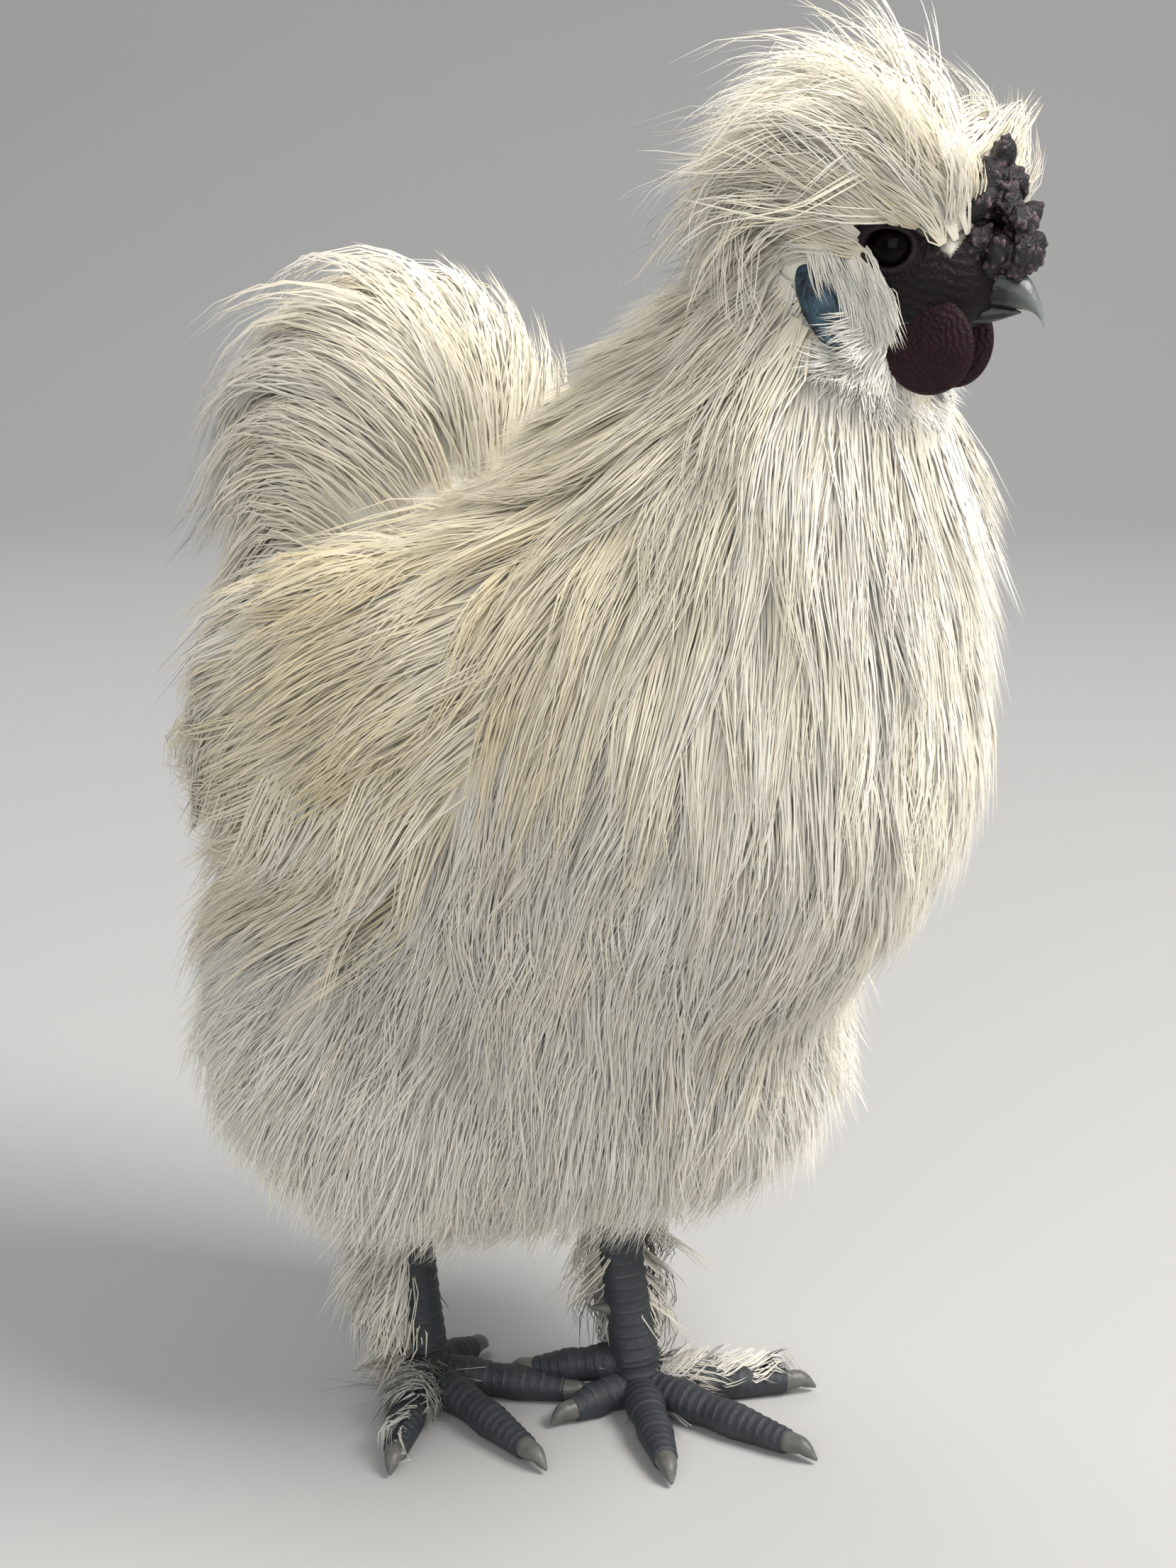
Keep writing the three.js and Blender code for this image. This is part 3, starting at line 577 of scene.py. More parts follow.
# Wings: folded against the flank, with soft coverts all over, a fringe of them along the lower edge,
# and ragged flight plumes whose loose ends hang out behind.
for side, sign in SIDES.items():
    dice = np.random.default_rng(42 + sign)

    def fringe_skin(spots):
        return (in_body(spots)[:, 0] < 45) & (in_body(spots)[:, 2] < 214)

    def flight_skin(spots):
        return (in_body(spots)[:, 0] < 10) & (in_body(spots)[:, 2] < 222)

    count = 360
    roots, patches = roots_on([f"wing_{side}"], count, dice, anywhere)
    yellow = np.interp(in_body(roots)[:, 0], [-30, 0, 30, 60], [0.35, 0.8, 0.9, 0.55])
    plumes(
        f"wing_{side}_coverts", roots, patches, TRUNK, towards(-0.9, 0, -0.7),
        dice.uniform(0.034, 0.052, count), dice.uniform(0.006, 0.014, count), dice,
        breadth=0.0045, tip=0.6, thick=0.00026, curl=0.15, warm=yellow, locks=75, gather=0.55,
    )
    count = 100
    roots, patches = roots_on([f"wing_{side}"], count, dice, fringe_skin)
    plumes(
        f"wing_{side}_fringe", roots, patches, TRUNK, towards(-0.55, 0, -1),
        dice.uniform(0.034, 0.05, count), dice.uniform(0.016, 0.025, count), dice, breadth=0.0045, tip=0.5,
        thick=0.00026, curl=0.3, warm=0.5, locks=22, gather=0.65,
    )
    count = 44
    roots, patches = roots_on([f"wing_{side}"], count, dice, flight_skin)
    plumes(
        f"wing_{side}_flight", roots, patches, TRUNK, towards(-1, 0, -0.5),
        dice.uniform(0.062, 0.084, count), dice.uniform(0.01, 0.022, count), dice, barbs=10, joints=4,
        breadth=0.003, tip=0.5, thick=0.00024, curl=0.3, warm=0.6, locks=12, gather=0.5,
    )

# Tail: a soft cushion of plumes that rise from the back, arch over and fall behind it, with longer
# sickle plumes that stand off the top and droop at their ends.
def tail_lie(spots):
    x, y, z = (in_body(spots) - (-44, 0, 262)).T
    return np.stack([-(z + 14).clip(12), y * 0.5, x + 4], 1)


for side, sign in SIDES.items():
    dice = np.random.default_rng(51 + sign)

    def sickle_skin(spots):
        return on_side(spots, sign) & (in_body(spots)[:, 2] > 285)

    count = 320
    roots, patches = roots_on(["tail"], count, dice, lambda spots: on_side(spots, sign))
    plumes(
        f"tail_{side}", roots, patches, ["tail", "back"], tail_lie, dice.uniform(0.04, 0.06, count),
        dice.uniform(0.008, 0.022, count), dice, barbs=7, thick=0.00028, joints=4, breadth=0.0048, tip=0.6,
        curl=0.15, warm=0.45, locks=80, gather=0.5,
    )
    count = 34
    roots, patches = roots_on(["tail"], count, dice, sickle_skin)
    plumes(
        f"tail_{side}_sickles", roots, patches, ["tail", "back"], tail_lie,
        dice.uniform(0.062, 0.086, count), dice.uniform(0.018, 0.036, count), dice, barbs=12, joints=6,
        breadth=0.0035, tip=0.7, curl=0.3, loose=0.002, warm=0.45,
    )

# Crest: a full pompon of the finest plumes. They spring from the brow and the foot of the comb like
# a fountain, stand up beside the comb, fall back over the skull, and end in single loose wisps.
def crest_lie(spots):
    x, y, z = in_head(spots).T
    way = np.stack([-z.clip(0) - 15, y * 0.8, x + 19 - 1.5 * (4 - z).clip(0)], 1)
    return way @ np.array(HEAD.to_3x3()).T


POLL = ["crest", "skull", "hindhead", "nape"]
fine = {"thick": 0.00018, "warm": 0.42, "blend": 0.012}
for side, sign in SIDES.items():
    dice = np.random.default_rng(23 + sign)

    def crest_skin(spots):
        x, y, z = in_head(spots).T
        over_ear = (x < -13) & (z > 0) | (x < -24) & (z > -8)
        return ((z > 4) & (x < 12) | (x > 5) & (z > -2) & (z < 3) | over_ear) & on_side(spots, sign)

    def brow(spots):
        x, y, z = in_head(spots).T
        return (x > -13) & (x < 17) & (z < 14 - x * 0.6) & (z > -2) & on_side(spots, sign)

    def wisp_skin(spots):
        return crest_skin(spots) & (in_head(spots)[:, 0] < 4)

    count = 380
    roots, patches = roots_on(["crest", "skull", "hindhead", "face"], count, dice, crest_skin)
    plumes(
        f"crest_{side}", roots, patches, POLL, crest_lie, dice.uniform(0.026, 0.044, count),
        dice.uniform(0.008, 0.024, count), dice, barbs=11, joints=4, breadth=0.0034, tip=0.7,
        sway=0.13, curl=0.25, loose=0.0013, locks=90, gather=0.5, **fine,
    )
    count = 150
    roots, patches = roots_on(["crest", "skull", "face"], count, dice, brow)
    plumes(
        f"brow_{side}", roots, patches, ["crest", "skull", "face"], crest_lie,
        dice.uniform(0.014, 0.026, count), dice.uniform(0.003, 0.009, count), dice, barbs=12, joints=3,
        breadth=0.002, tip=0.8, sway=0.1, curl=0.15, loose=0.0007, sink=0.001, **fine,
    )
    count = 120
    roots, patches = roots_on(["crest"], count, dice, wisp_skin)
    plumes(
        f"crest_{side}_wisps", roots, patches, POLL, crest_lie, dice.uniform(0.014, 0.036, count),
        dice.uniform(0.02, 0.036, count), dice, barbs=4, joints=6, breadth=0.0016, tip=0.9,
        sway=0.6, curl=0.3, loose=0.001, **fine,
    )


def flare_skin(spots):
    x, y, z = in_head(spots).T
    return on_side(spots, SIDES["left"]) & (x > 2) & (z > 0)


def head_way(x, y, z):
    return towards(*(np.array(HEAD.to_3x3()) @ (x, y, z)))


count = 90
roots, patches = roots_on(["crest", "skull", "face"], count, dice, flare_skin)
plumes(
    "crest_flare", roots, patches, POLL, head_way(0.4, 1, 0.6), dice.uniform(0.02, 0.032, count),
    dice.uniform(0.014, 0.026, count), dice, barbs=12, joints=4, breadth=0.003, tip=0.7, sway=0.25,
    curl=0.2, locks=22, gather=0.55, **fine,
)

# Face feathers: small white tufts before the ears, a short downy beard round the wattles, and a
# little down behind the earlobes. All of them grow from the edge of the bare face.
CHEEK = ["skull", "face", "throat", "hindhead"]
WATTLE_AHEAD = 9.6
WATTLE_DOWN = 21.4


def off_disc(x, z):
    return np.hypot(x - WATTLE_AHEAD, z + WATTLE_DOWN)


for side, sign in SIDES.items():
    dice = np.random.default_rng(11 + sign)

    def before_ear(spots):
        x, y, z = in_head(spots).T
        clear = (past_lobe(x, z) > 4.6) & (off_disc(x, z) > 10)
        return clear & (z < 4) & (z > -18) & (x < 4) & on_side(spots, sign)

    def under_bill(spots):
        x, y, z = in_head(spots).T
        lobe = (np.abs(past_lobe(x, z)) < 6) & (z > -25)
        clear = (off_disc(x, z) > 10.5) & (z < -19 - x * 0.55) & ~lobe
        return clear & (x > -12) & (z > -38) & on_side(spots, sign)

    def behind_lobe(spots):
        x, y, z = in_head(spots).T
        back = past_lobe(x, z)
        return (back < -3) & (back > -9) & (z > -30) & (z < 4) & (x > -30) & on_side(spots, sign)

    def off_wattle(spots):
        x, y, z = in_head(spots).T
        return np.stack([x - WATTLE_AHEAD, 0 * y, z + 12], 1) @ np.array(HEAD.to_3x3()).T

    count = 84
    roots, patches = roots_on(CHEEK, count, dice, before_ear)
    length = np.interp(in_head(roots)[:, 2], [-16, -6], [0.007, 0.015]) * dice.uniform(0.8, 1.15, count)
    plumes(
        f"ear_tuft_{side}", roots, patches, CHEEK, head_way(0.5, 0, -0.9), length,
        dice.uniform(0.002, 0.005, count), dice, barbs=10, breadth=0.0018, tip=0.6, thick=0.00016, sway=0.12,
        loose=0.0006, warm=0.15, blend=0.008, locks=30, gather=0.6, sink=0.001,
    )
    count = 225
    roots, patches = roots_on(CHEEK, count, dice, under_bill)
    # The beard is pure white, and its tone is lifted above the rest of the plumage as painted light against
    # the shade under the bill.
    plumes(
        f"beard_{side}", roots, patches, CHEEK + ["nape"], off_wattle, dice.uniform(0.007, 0.012, count),
        dice.uniform(0.005, 0.01, count), dice, barbs=9, breadth=0.0026, tip=1, thick=0.00018, sway=0.25,
        curl=0.3, loose=0.001, warm=0, blend=0.008, bright=1.08, sink=0.002,
    )
    count = 70
    roots, patches = roots_on(CHEEK + ["nape"], count, dice, behind_lobe)
    plumes(
        f"lobe_down_{side}", roots, patches, CHEEK + ["nape"], head_way(-0.6, 0, -1),
        dice.uniform(0.01, 0.016, count), dice.uniform(0.001, 0.004, count), dice, barbs=11,
        breadth=0.0024, tip=1, thick=0.00018, sway=0.15, curl=0.15, loose=0.0008, warm=0.3, blend=0.008,
        sink=0.001,
    )

# Eyes: wet balls of the darkest brown, each set in the ring of its lids, with a black pupil that
# looks straight out to the side.
EYE_RADIUS = 0.0055
eyeball = principled("eyeball", Roughness=0.05, Specular_IOR_Level=0.07)
pupil = steeper(eyeball, share_of(eyeball, "out"), 0.93, 0.95)
painted(eyeball, between(eyeball, pupil, srgb(11, 7, 6), srgb(2, 2, 3)))
for side, at in eyes.items():
    bm = bmesh.new()
    place = Matrix.Translation(at)
    bmesh.ops.create_uvsphere(bm, u_segments=40, v_segments=24, radius=EYE_RADIUS, matrix=place)
    eye = finished(bm, f"eyeball_{side}", eyeball)
    off = (points_of(eye.data) - at) / EYE_RADIUS
    mark(eye.data, "out", np.abs(off @ np.array(HEAD.col[1][:3])))
    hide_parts(f"eye_{side}")


# Bill: two horn sheaths, the upper one hooked and keeled, dark at the root and pale at the tip. The
# roots of both are sunk in the face.
def ringed(bm, rings):
    start = bmesh.ops.create_circle(bm, cap_ends=True, segments=len(rings[0]), radius=0.001)["verts"]
    bm.verts.ensure_lookup_table()
    edges = {edge for vert in start for edge in vert.link_edges}
    for vert, spot in zip(start, rings[0]):
        vert.co = spot
    order = {tuple(vert.co): index for index, vert in enumerate(start)}
    for ring in rings[1:]:
        grown = bmesh.ops.extrude_edge_only(bm, edges=list(edges))["geom"]
        fresh = [item for item in grown if isinstance(item, bmesh.types.BMVert)]
        edges = {item for item in grown if isinstance(item, bmesh.types.BMEdge)}
        edges = {edge for edge in edges if all(vert in fresh for vert in edge.verts)}
        spokes = [(order[tuple(vert.co)], vert) for vert in fresh]
        for index, vert in spokes:
            vert.co = ring[index]
        order = {tuple(vert.co): index for index, vert in spokes}
    bmesh.ops.edgeloop_fill(bm, edges=list(edges))


def spine(points, count):
    points = np.array(points, float)
    run = np.concatenate([[0], np.cumsum(np.linalg.norm(np.diff(points, axis=0), axis=1))])
    at = np.linspace(0, run[-1], count)
    line = np.stack([np.interp(at, run, points[:, axis]) for axis in range(3)], 1)
    for smooth in range(count // 6):
        line[1:-1] = (line[:-2] + line[1:-1] * 2 + line[2:]) / 4
    return line, at


horn = principled("bill_horn", Roughness=0.32)
outer = steeper(horn, share_of(horn, "run"), 0.5, 1.05)
tipped = between(horn, outer, srgb(17, 18, 20), srgb(128, 134, 132))
streaks = between(horn, grain(horn, 500, 2), (0.82, 0.84, 0.86, 1), (1.05, 1.04, 1.0, 1))
painted(horn, between(horn, 1.0, tipped, streaks, "MULTIPLY"), grain(horn, 700), 0.0002)


def bill_part(name, points, sizes, keel, flat):
    line, run = spine(points, 40)
    rings = []
    for at, share in zip(line, run / run[-1]):
        size = np.interp(share, np.linspace(0, 1, len(sizes)), sizes)
        ring = []
        for spoke in range(24):
            angle = math.tau * spoke / 24
            wide = math.cos(angle) * size * 0.82
            high = math.sin(angle) * size * (1.0 if math.sin(angle) > 0 else flat)
            high += keel * size * max(math.sin(angle), 0) ** 6
            ring.append(HEAD @ (Vector((at[0], at[1] + wide, at[2] + high)) / 1000))
        rings.append(ring)
    bm = bmesh.new()
    ringed(bm, rings)
    piece = finished(bm, name, horn)
    local = in_head(points_of(piece.data))
    mark(piece.data, "run", ((local[:, 0] - 16) / 17).clip(0, 1))
    return piece


hook = [(12, 0, -8.4), (19, 0, -7.8), (25, 0, -8.2), (29.8, 0, -10), (32.4, 0, -13.2), (33, 0, -16)]
upper = bill_part("upper_bill", hook, [6.6, 6.5, 6.2, 5.4, 3.8, 2.0, 0.25], keel=0.14, flat=0.8)
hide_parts("bill_upper")
under = [(11, 0, -15.2), (20, 0, -14.6), (27.4, 0, -13.2)]
lower = bill_part("lower_bill", under, [5.6, 5.0, 3.9, 2.4, 0.3], keel=0, flat=0.45)
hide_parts("bill_lower")

# Comb: a walnut comb of warty plum black flesh on the brow. It is a heap of folded lobes, narrow at
# the top, with small warts all over, grown together into one body.
flesh = principled("comb_flesh", Roughness=0.36, Specular_IOR_Level=0.5)
# Where the warts and ridges stand out from the lobes, the colour is painted lighter as a painted highlight.
# The rest keeps the comb's own near black.
ridges = steeper(flesh, share_of(flesh, "ridge"), 0, 0.9)
warty = steeper(flesh, grain(flesh, 700, 4), 0.35, 0.7)
ridge_highlight = between(flesh, warty, srgb(54, 38, 45), srgb(134, 108, 117))
painted(flesh, between(flesh, ridges, srgb(15, 10, 13), ridge_highlight), grain(flesh, 1700, 5), 0.0006)
LOBES = [
    (20.3, 0, 21.5, 4), (18.6, -3, 16.5, 4.4), (22.2, 2, 16, 4.2), (17.2, -5, 10, 5), (20.5, 1, 10.5, 5.4),
    (23.6, -2.4, 11, 3.8), (19, 4.5, 7.5, 5), (26.8, -3, 7, 4.3), (26, 2.5, 7.6, 4.4), (17.6, -4.8, 2, 4.8),
    (22.6, -5.4, 0.4, 4.3), (27.6, -3.4, 0.8, 4.2), (27.8, 2.6, 1, 4.2), (23, 4.5, 1, 4.8), (23, 0, 0, 5),
    (25.6, -2.6, -2.6, 3.6), (20.6, -4.5, -3.4, 3.2), (25, 3, -3, 3.4), (29, -0.6, -1, 3.2),
]
COMB_VOXEL = 0.00037
WARTS_PER_LOBE = 26
dice = np.random.default_rng(7)
bm = bmesh.new()
lobes = []
for x, y, z, size in LOBES:
    lean = Matrix.Rotation(dice.uniform(-0.9, 0.9), 4, "Y")
    fold = lean @ Matrix.Rotation(dice.uniform(-0.7, 0.7), 4, "X")
    fold = HEAD @ Matrix.Translation(Vector((x, y, z)) / 1000) @ fold
    lobe = fold @ Matrix.Diagonal((0.00066 * size, 0.00078 * size, 0.00104 * size, 1))
    lobes.append(lobe)
    bmesh.ops.create_icosphere(bm, subdivisions=3, radius=1, matrix=lobe)
    for wart in range(WARTS_PER_LOBE):
        way = Vector(dice.normal(0, 1, 3)).normalized()
        place = Matrix.Translation(lobe @ way) @ Matrix.Diagonal((1, 1, dice.uniform(0.8, 1.7), 1))
        bmesh.ops.create_icosphere(bm, subdivisions=2, radius=dice.uniform(0.00035, 0.00085), matrix=place)
comb = finished(bm, "walnut_comb", flesh)
made_one(comb, COMB_VOXEL)
spots = points_of(comb.data)
far = []
for lobe, (x, y, z, size) in zip(lobes, LOBES):
    back = np.array(lobe.inverted())
    far.append((np.linalg.norm(spots @ back[:3, :3].T + back[:3, 3], axis=1) - 1) * size * 0.8)
mark(comb.data, "ridge", np.min(far, axis=0))
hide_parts("comb")

# Wattles and earlobes: two round dark wattles with fine ring folds under the bill, and a blue lobe
# behind each cheek.
wattle_flesh = principled("wattle_flesh", Roughness=0.5, Specular_IOR_Level=0.2)
mulberry = between(wattle_flesh, grain(wattle_flesh, 300, 4), srgb(15, 5, 8), srgb(48, 18, 24))
painted(wattle_flesh, mulberry, grain(wattle_flesh, 1300, 4), 0.0005)
blue_flesh = principled("earlobe_flesh", Roughness=0.45)
clouded = steeper(blue_flesh, grain(blue_flesh, 260, 4), 0.35, 0.7)
blue = between(blue_flesh, clouded, srgb(14, 20, 30), srgb(62, 94, 110))
painted(blue_flesh, blue, grain(blue_flesh, 900, 3), 0.0004)


def disc(name, material, at, radii, folds, fine, tilt=0):
    bm = bmesh.new()
    place = HEAD @ Matrix.Translation(Vector(at) / 1000) @ Matrix.Rotation(math.radians(tilt), 4, "Y")
    place = place @ Matrix.Diagonal((*(Vector(radii) / 1000), 1))
    bmesh.ops.create_icosphere(bm, subdivisions=fine, radius=1, matrix=place)
    piece = finished(bm, name, material)
    spots = points_of(piece.data)
    x, y, z = (in_head(spots) - at).T
    ring = np.hypot(x, z) + 0.7 * np.sin(np.arctan2(z, x) * 5) + 0.3 * np.sin(np.arctan2(z, x) * 13)
    push = np.sin(ring * folds) * 0.22 * np.sign(y) * (np.abs(y) / radii[1]).clip(0, 1) / 1000
    set_points(piece.data, spots + np.array(HEAD.col[1][:3]) * push[:, None])
    return piece


WATTLES = {
    "left": {"out": 7.4, "radii": (9.6, 2.7, 11.3)},
    "right": {"out": -10.2, "radii": (10.9, 2.7, 11.3)},
}
for side, sign in SIDES.items():
    at = (WATTLE_AHEAD, WATTLES[side]["out"], -WATTLE_DOWN)
    wattle = disc(
        f"round_wattle_{side}", wattle_flesh, at, WATTLES[side]["radii"], folds=4.2, fine=6
    )
    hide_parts(f"wattle_{side}")
    at = (-15, sign * 16.2, -14)
    lobe = disc(
        f"blue_earlobe_{side}", blue_flesh, at, (4.6, 2.4, 10.8), folds=3, fine=5, tilt=-30
    )
    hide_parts(f"earlobe_{side}")

# Legs and feet: slate skin in overlapping scutes down the front of the shank and over the five
# toes, with blunt horn claws and a short spur. Four toes lie on the floor, and the fifth is raised.
scaly = principled("scaly_leg_skin", Roughness=0.6)
slate = between(scaly, grain(scaly, 160, 4), srgb(34, 37, 41), srgb(62, 66, 70))
rims = between(scaly, grain(scaly, 300, 2), srgb(60, 62, 64), srgb(118, 118, 114))
scaled = between(scaly, steeper(scaly, share_of(scaly, "edge"), 0.68, 1), slate, rims)
painted(scaly, scaled, grain(scaly, 1200, 4), 0.0003)
claw_horn = principled("claw_horn", Roughness=0.4)
greyish = between(claw_horn, grain(claw_horn, 300, 3), srgb(70, 72, 72), srgb(120, 118, 110))
painted(claw_horn, greyish, grain(claw_horn, 900), 0.0002)
TOES = [
    {"name": "middle", "angle": 0, "length": 52, "claw": 10},
    {"name": "inner", "angle": -43, "length": 42, "claw": 9},
    {"name": "outer", "angle": 43, "length": 44, "claw": 9},
    {"name": "back", "angle": -108, "length": 22, "claw": 8},
    {"name": "fifth", "angle": -155, "length": 30, "claw": 9, "from": 13, "to": 7},
]
TOE_OUT = {"left": 5, "right": -12}
HALF_STRIDE = 0.0255
HALF_STANCE = 0.018
SHANK_TOP = 84
SHANK_LEAN = 8
SCUTE_EDGE = 0.88
NO_SCUTES = 400
UPWARDS = (0, 0, 1)
AHEAD = (1, 0, 0)


def foot_place(side, sign):
    at = Matrix.Translation((sign * HALF_STRIDE, sign * HALF_STANCE, 0))
    return BODY @ at @ Matrix.Rotation(math.radians(TOE_OUT[side]), 4, "Z")


def limb(bm, place, points, sizes, up, pitch, rows=1, step=0.55, sides=22):
    reach = np.linalg.norm(np.diff(np.array(points, float), axis=0), axis=1).sum()
    line, run = spine(points, int(reach / step))
    ahead = np.gradient(line, axis=0)
    ahead /= np.linalg.norm(ahead, axis=1)[:, None]
    side = np.cross(ahead, up)
    side /= np.linalg.norm(side, axis=1)[:, None]
    above = np.cross(side, ahead)
    rings = []
    scutes = {}
    for at, along, across, high in zip(line, run, side, above):
        size = np.interp(along / run[-1], np.linspace(0, 1, len(sizes)), sizes)
        ring = []
        for spoke in range(sides):
            angle = math.tau * spoke / sides
            top = math.sin(angle)
            row = 0.5 * (math.cos(angle) > 0) * (rows > 1)
            share = (along / pitch + row) % 1
            scute = share if share < SCUTE_EDGE else (1 - share) / (1 - SCUTE_EDGE) * SCUTE_EDGE
            scute *= min(max(top + 0.35, 0) * 2, 1)
            bulge = size + 0.42 * scute - 0.25 * (rows > 1) * (abs(math.cos(angle)) < 0.12)
            spot = at + across * math.cos(angle) * bulge + high * top * bulge
            spot[2] = max(spot[2], 0)
            spot = place @ (Vector(spot) / 1000)
            scutes[spot.to_tuple(5)] = scute
            ring.append(spot)
        rings.append(ring)
    ringed(bm, rings)
    return scutes


def edged(piece, scutes):
    mark(piece.data, "edge", [scutes.get(vert.co.to_tuple(5), 0) for vert in piece.data.vertices])


for side, sign in SIDES.items():
    foot = foot_place(side, sign)
    bm = bmesh.new()
    scutes = limb(bm, foot, [(2, 0, 2), (0.5, 0, 8), (-0.5, 0, 14.5)], [7.4, 7, 6.2], AHEAD, 3)
    for toe in TOES:
        angle = math.radians(toe["angle"] * sign)
        way = np.array((math.cos(angle), math.sin(angle), 0))
        start = toe.get("from", 6)
        end = toe.get("to", 4)
        points = []
        for share in (0, 0.35, 0.7, 1):
            points.append(way * toe["length"] * share + (0, 0, start + (end - start) * share))
        knuckles = [6, 5.2, 5.7, 4.7, 5.1, 4.2, 3.4]
        scutes.update(limb(bm, foot, points, knuckles, UPWARDS, 2.8, step=0.5, sides=18))
        claw_bm = bmesh.new()
        tip = points[-1] + way * toe["claw"]
        claw_path = [points[-1] - way * 2, points[-1] + way * toe["claw"] * 0.5 + (0, 0, 0.5), tip]
        claw_path[2][2] = max(tip[2] - 2.4, 0.8)
        limb(claw_bm, foot, claw_path, [3.1, 3, 2.6, 1.8, 0.4], UPWARDS, NO_SCUTES, sides=14)
        claw = finished(claw_bm, f"horn_claw_{side}_{toe['name']}", claw_horn)
        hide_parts(f"claw_{side}_{toe['name']}")
    feet = finished(bm, f"scaled_foot_{side}", scaly)
    edged(feet, scutes)
    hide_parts(f"foot_{side}")
    lean = math.tan(math.radians(SHANK_LEAN)) * SHANK_TOP
    bm = bmesh.new()
    points = [(-lean, 0, SHANK_TOP), (-0.5 - lean / 2, 0, 49), (-0.5, 0, 13)]
    scutes = limb(bm, foot, points, [8.2, 7.2, 6.4, 6.2, 6.4, 7], AHEAD, 3.6, rows=2)
    shank = finished(bm, f"scaled_shank_{side}", scaly)
    edged(shank, scutes)
    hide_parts(f"shank_{side}")
    bm = bmesh.new()
    points = [(-0.8 * far, -sign * 0.6 * far, 29 + 0.05 * far) for far in (2, 8, 14)]
    limb(bm, foot, points, [3, 2.7, 2.1, 1.2, 0.2], UPWARDS, NO_SCUTES, sides=14)
    spur = finished(bm, f"horn_spur_{side}", claw_horn)
    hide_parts(f"spur_{side}")

# Leg feathers: a full loose stocking of plumes round the back and outer side of shank and foot, and
# a spray of them that lies out along the outer toe.
for side, sign in SIDES.items():
    dice = np.random.default_rng(84 + sign)
    foot = foot_place(side, sign)
    FORMS[f"stocking_{side}"] = oval((-5, sign * 2.5, 48), (8.8, 9, 40), -8, 0, foot)
    FORMS[f"outer_toe_{side}"] = oval((17, sign * 15.5, 7), (26, 6, 7), 0, sign * 43, foot)
    for name, count, kept in (("stocking", 430, 0.3), ("outer_toe", 84, math.inf)):
        form = FORMS[f"{name}_{side}"]
        way = dice.normal(0, 1, (count, 3))
        way += np.array((-1.3, 0, 0.6)) * (name == "outer_toe")
        way = way[way[:, 0] - way[:, 1] * sign * 0.9 < kept]
        way /= np.linalg.norm(way, axis=1)[:, None]
        count = len(way)
        roots = form["at"] + (way * form["radii"]) @ form["axes"].T
        nearest = [np.argmin(((patch_middle - root) ** 2).sum(1)) for root in roots]
        patches = patch_unwrap[nearest].mean(1)
        if name == "stocking":
            bell = np.interp(in_body(roots)[:, 2], [20, 75], [1.5, 0.9])
            piece = plumes(
                f"stocking_{side}", roots, patches, [f"stocking_{side}"], towards(-0.12, sign * 0.12, -1),
                dice.uniform(0.022, 0.036, count), bell * dice.uniform(0.006, 0.022, count), dice, barbs=8,
                breadth=0.0048, tip=1, thick=0.0002, curl=0.3, sway=0.12, loose=0.0016, warm=0.25,
                blend=0.01, locks=34, gather=0.35,
            )
            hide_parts(f"leg_feathers_{side}")
            continue
        plumes(
            f"toe_plumes_{side}", roots, patches, [f"outer_toe_{side}"], towards(0.3, sign, -0.25),
            dice.uniform(0.014, 0.024, count), dice.uniform(0.002, 0.006, count), dice, barbs=12, joints=3,
            breadth=0.005, tip=1, thick=0.00019, sway=0.12, curl=0.25, loose=0.001, warm=0.2, blend=0.01,
            locks=14, gather=0.35,
        )

# Studio: a pale sweep of paper under and behind the bird, three soft lamps, and a camera where the
# photographer's stood, as high as the crest, ahead of the bird and to its right.
FLOOR_AHEAD = 4
FLOOR_BEHIND = 1.6
FLOOR_WIDTH = 10
sweep = bmesh.new()
behind = Vector((-0.669, 0.743, 0))
across = Vector((0.743, 0.669, 0))
profile = [behind * -FLOOR_AHEAD, behind * FLOOR_BEHIND]
for angle in np.linspace(0.1, 1.5708, 16):
    profile.append(behind * (FLOOR_BEHIND + math.sin(angle)) + Vector((0, 0, 1 - math.cos(angle))))
profile.append(profile[-1] + Vector((0, 0, 2)))
row = [sweep.verts.new(spot - across * FLOOR_WIDTH / 2) for spot in profile]
line = [sweep.edges.new(pair) for pair in zip(row, row[1:])]
wide = bmesh.ops.extrude_edge_only(sweep, edges=line)["geom"]
fresh = [item for item in wide if isinstance(item, bmesh.types.BMVert)]
bmesh.ops.translate(sweep, vec=across * FLOOR_WIDTH, verts=fresh)
bmesh.ops.recalc_face_normals(sweep, faces=sweep.faces)
pale = principled("pale_paper", Roughness=0.9)
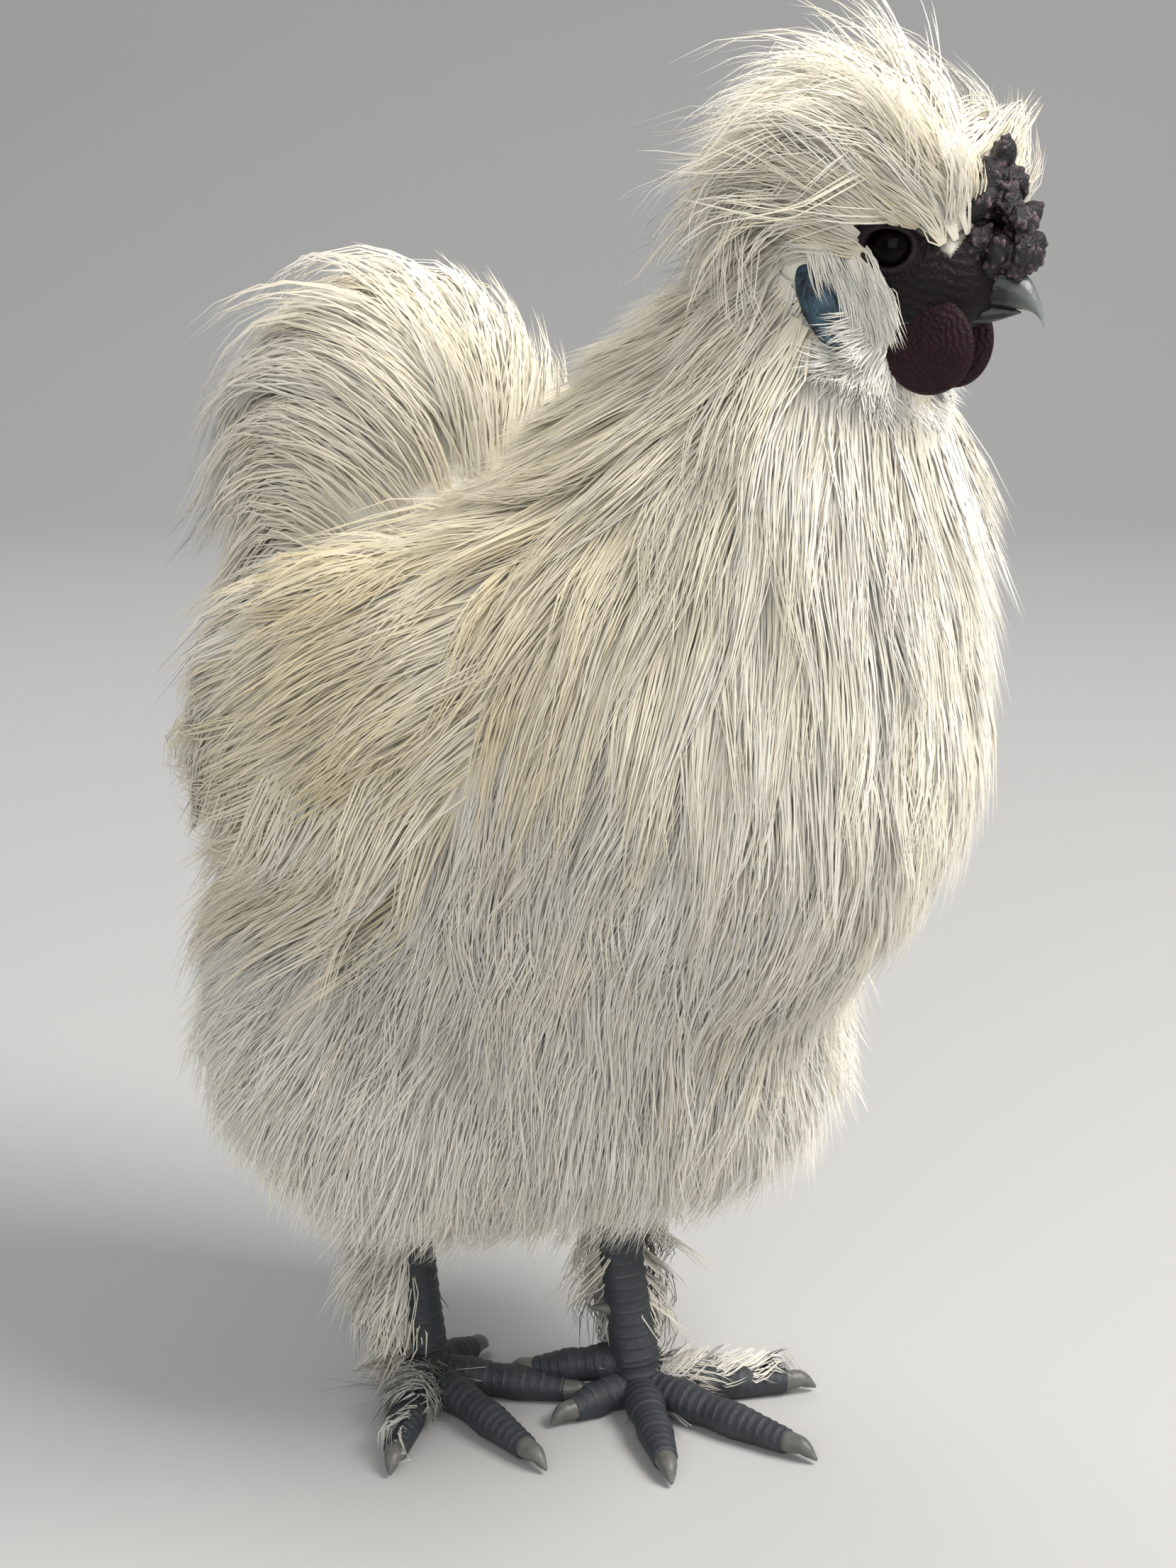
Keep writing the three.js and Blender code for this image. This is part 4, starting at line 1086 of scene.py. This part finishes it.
pale.node_tree.nodes["Principled BSDF"].inputs["Base Color"].default_value = srgb(186, 185, 183)
floor = bpy.data.objects.new("floor", bpy.data.meshes.new("floor"))
sweep.to_mesh(floor.data)
sweep.free()
floor.data.materials.append(pale)
floor.data.polygons.foreach_set("use_smooth", [True] * len(floor.data.polygons))
bpy.context.scene.collection.objects.link(floor)
world = bpy.data.worlds.new("studio")
world.use_nodes = True
world.node_tree.nodes["Background"].inputs["Color"].default_value = srgb(228, 232, 238)
world.node_tree.nodes["Background"].inputs["Strength"].default_value = 0.5
bpy.context.scene.world = world
LAMPS = {
    "key": {"at": (1.1, 0.35, 1.6), "size": 1.0, "power": 44, "colour": (1, 0.975, 0.94)},
    "fill": {"at": (0.9, -1.5, 0.9), "size": 1.4, "power": 13, "colour": (0.96, 0.98, 1)},
    "rim": {"at": (-1.1, 0.5, 1.5), "size": 1.0, "power": 8, "colour": (1, 0.99, 0.97)},
}
for name, lamp in LAMPS.items():
    light = bpy.data.lights.new(name, "AREA")
    light.size = lamp["size"]
    light.energy = lamp["power"]
    light.color = lamp["colour"]
    lit = bpy.data.objects.new(name, light)
    lit.location = lamp["at"]
    lit.rotation_euler = (Vector((0, 0, 0.2)) - lit.location).to_track_quat("-Z", "Y").to_euler()
    bpy.context.scene.collection.objects.link(lit)
FOCAL_PIXELS = 3700
PHOTO_HEIGHT_PIXELS = 2212
SENSOR = 36
CAMERA_TILT = 14.8
CAMERA_TURN = 42
CAMERA_FROM_MIDDLE = Vector((0.4789, -0.5065, 0.369))
camera = bpy.data.objects.new("camera", bpy.data.cameras.new("camera"))
camera.data.lens = FOCAL_PIXELS / PHOTO_HEIGHT_PIXELS * SENSOR
camera.data.sensor_width = SENSOR
camera.location = MIDDLE + CAMERA_FROM_MIDDLE
camera.rotation_euler = (math.radians(90 - CAMERA_TILT), 0, math.radians(CAMERA_TURN))
bpy.context.scene.collection.objects.link(camera)
bpy.context.scene.camera = camera
bpy.context.scene.view_settings.view_transform = "Standard"
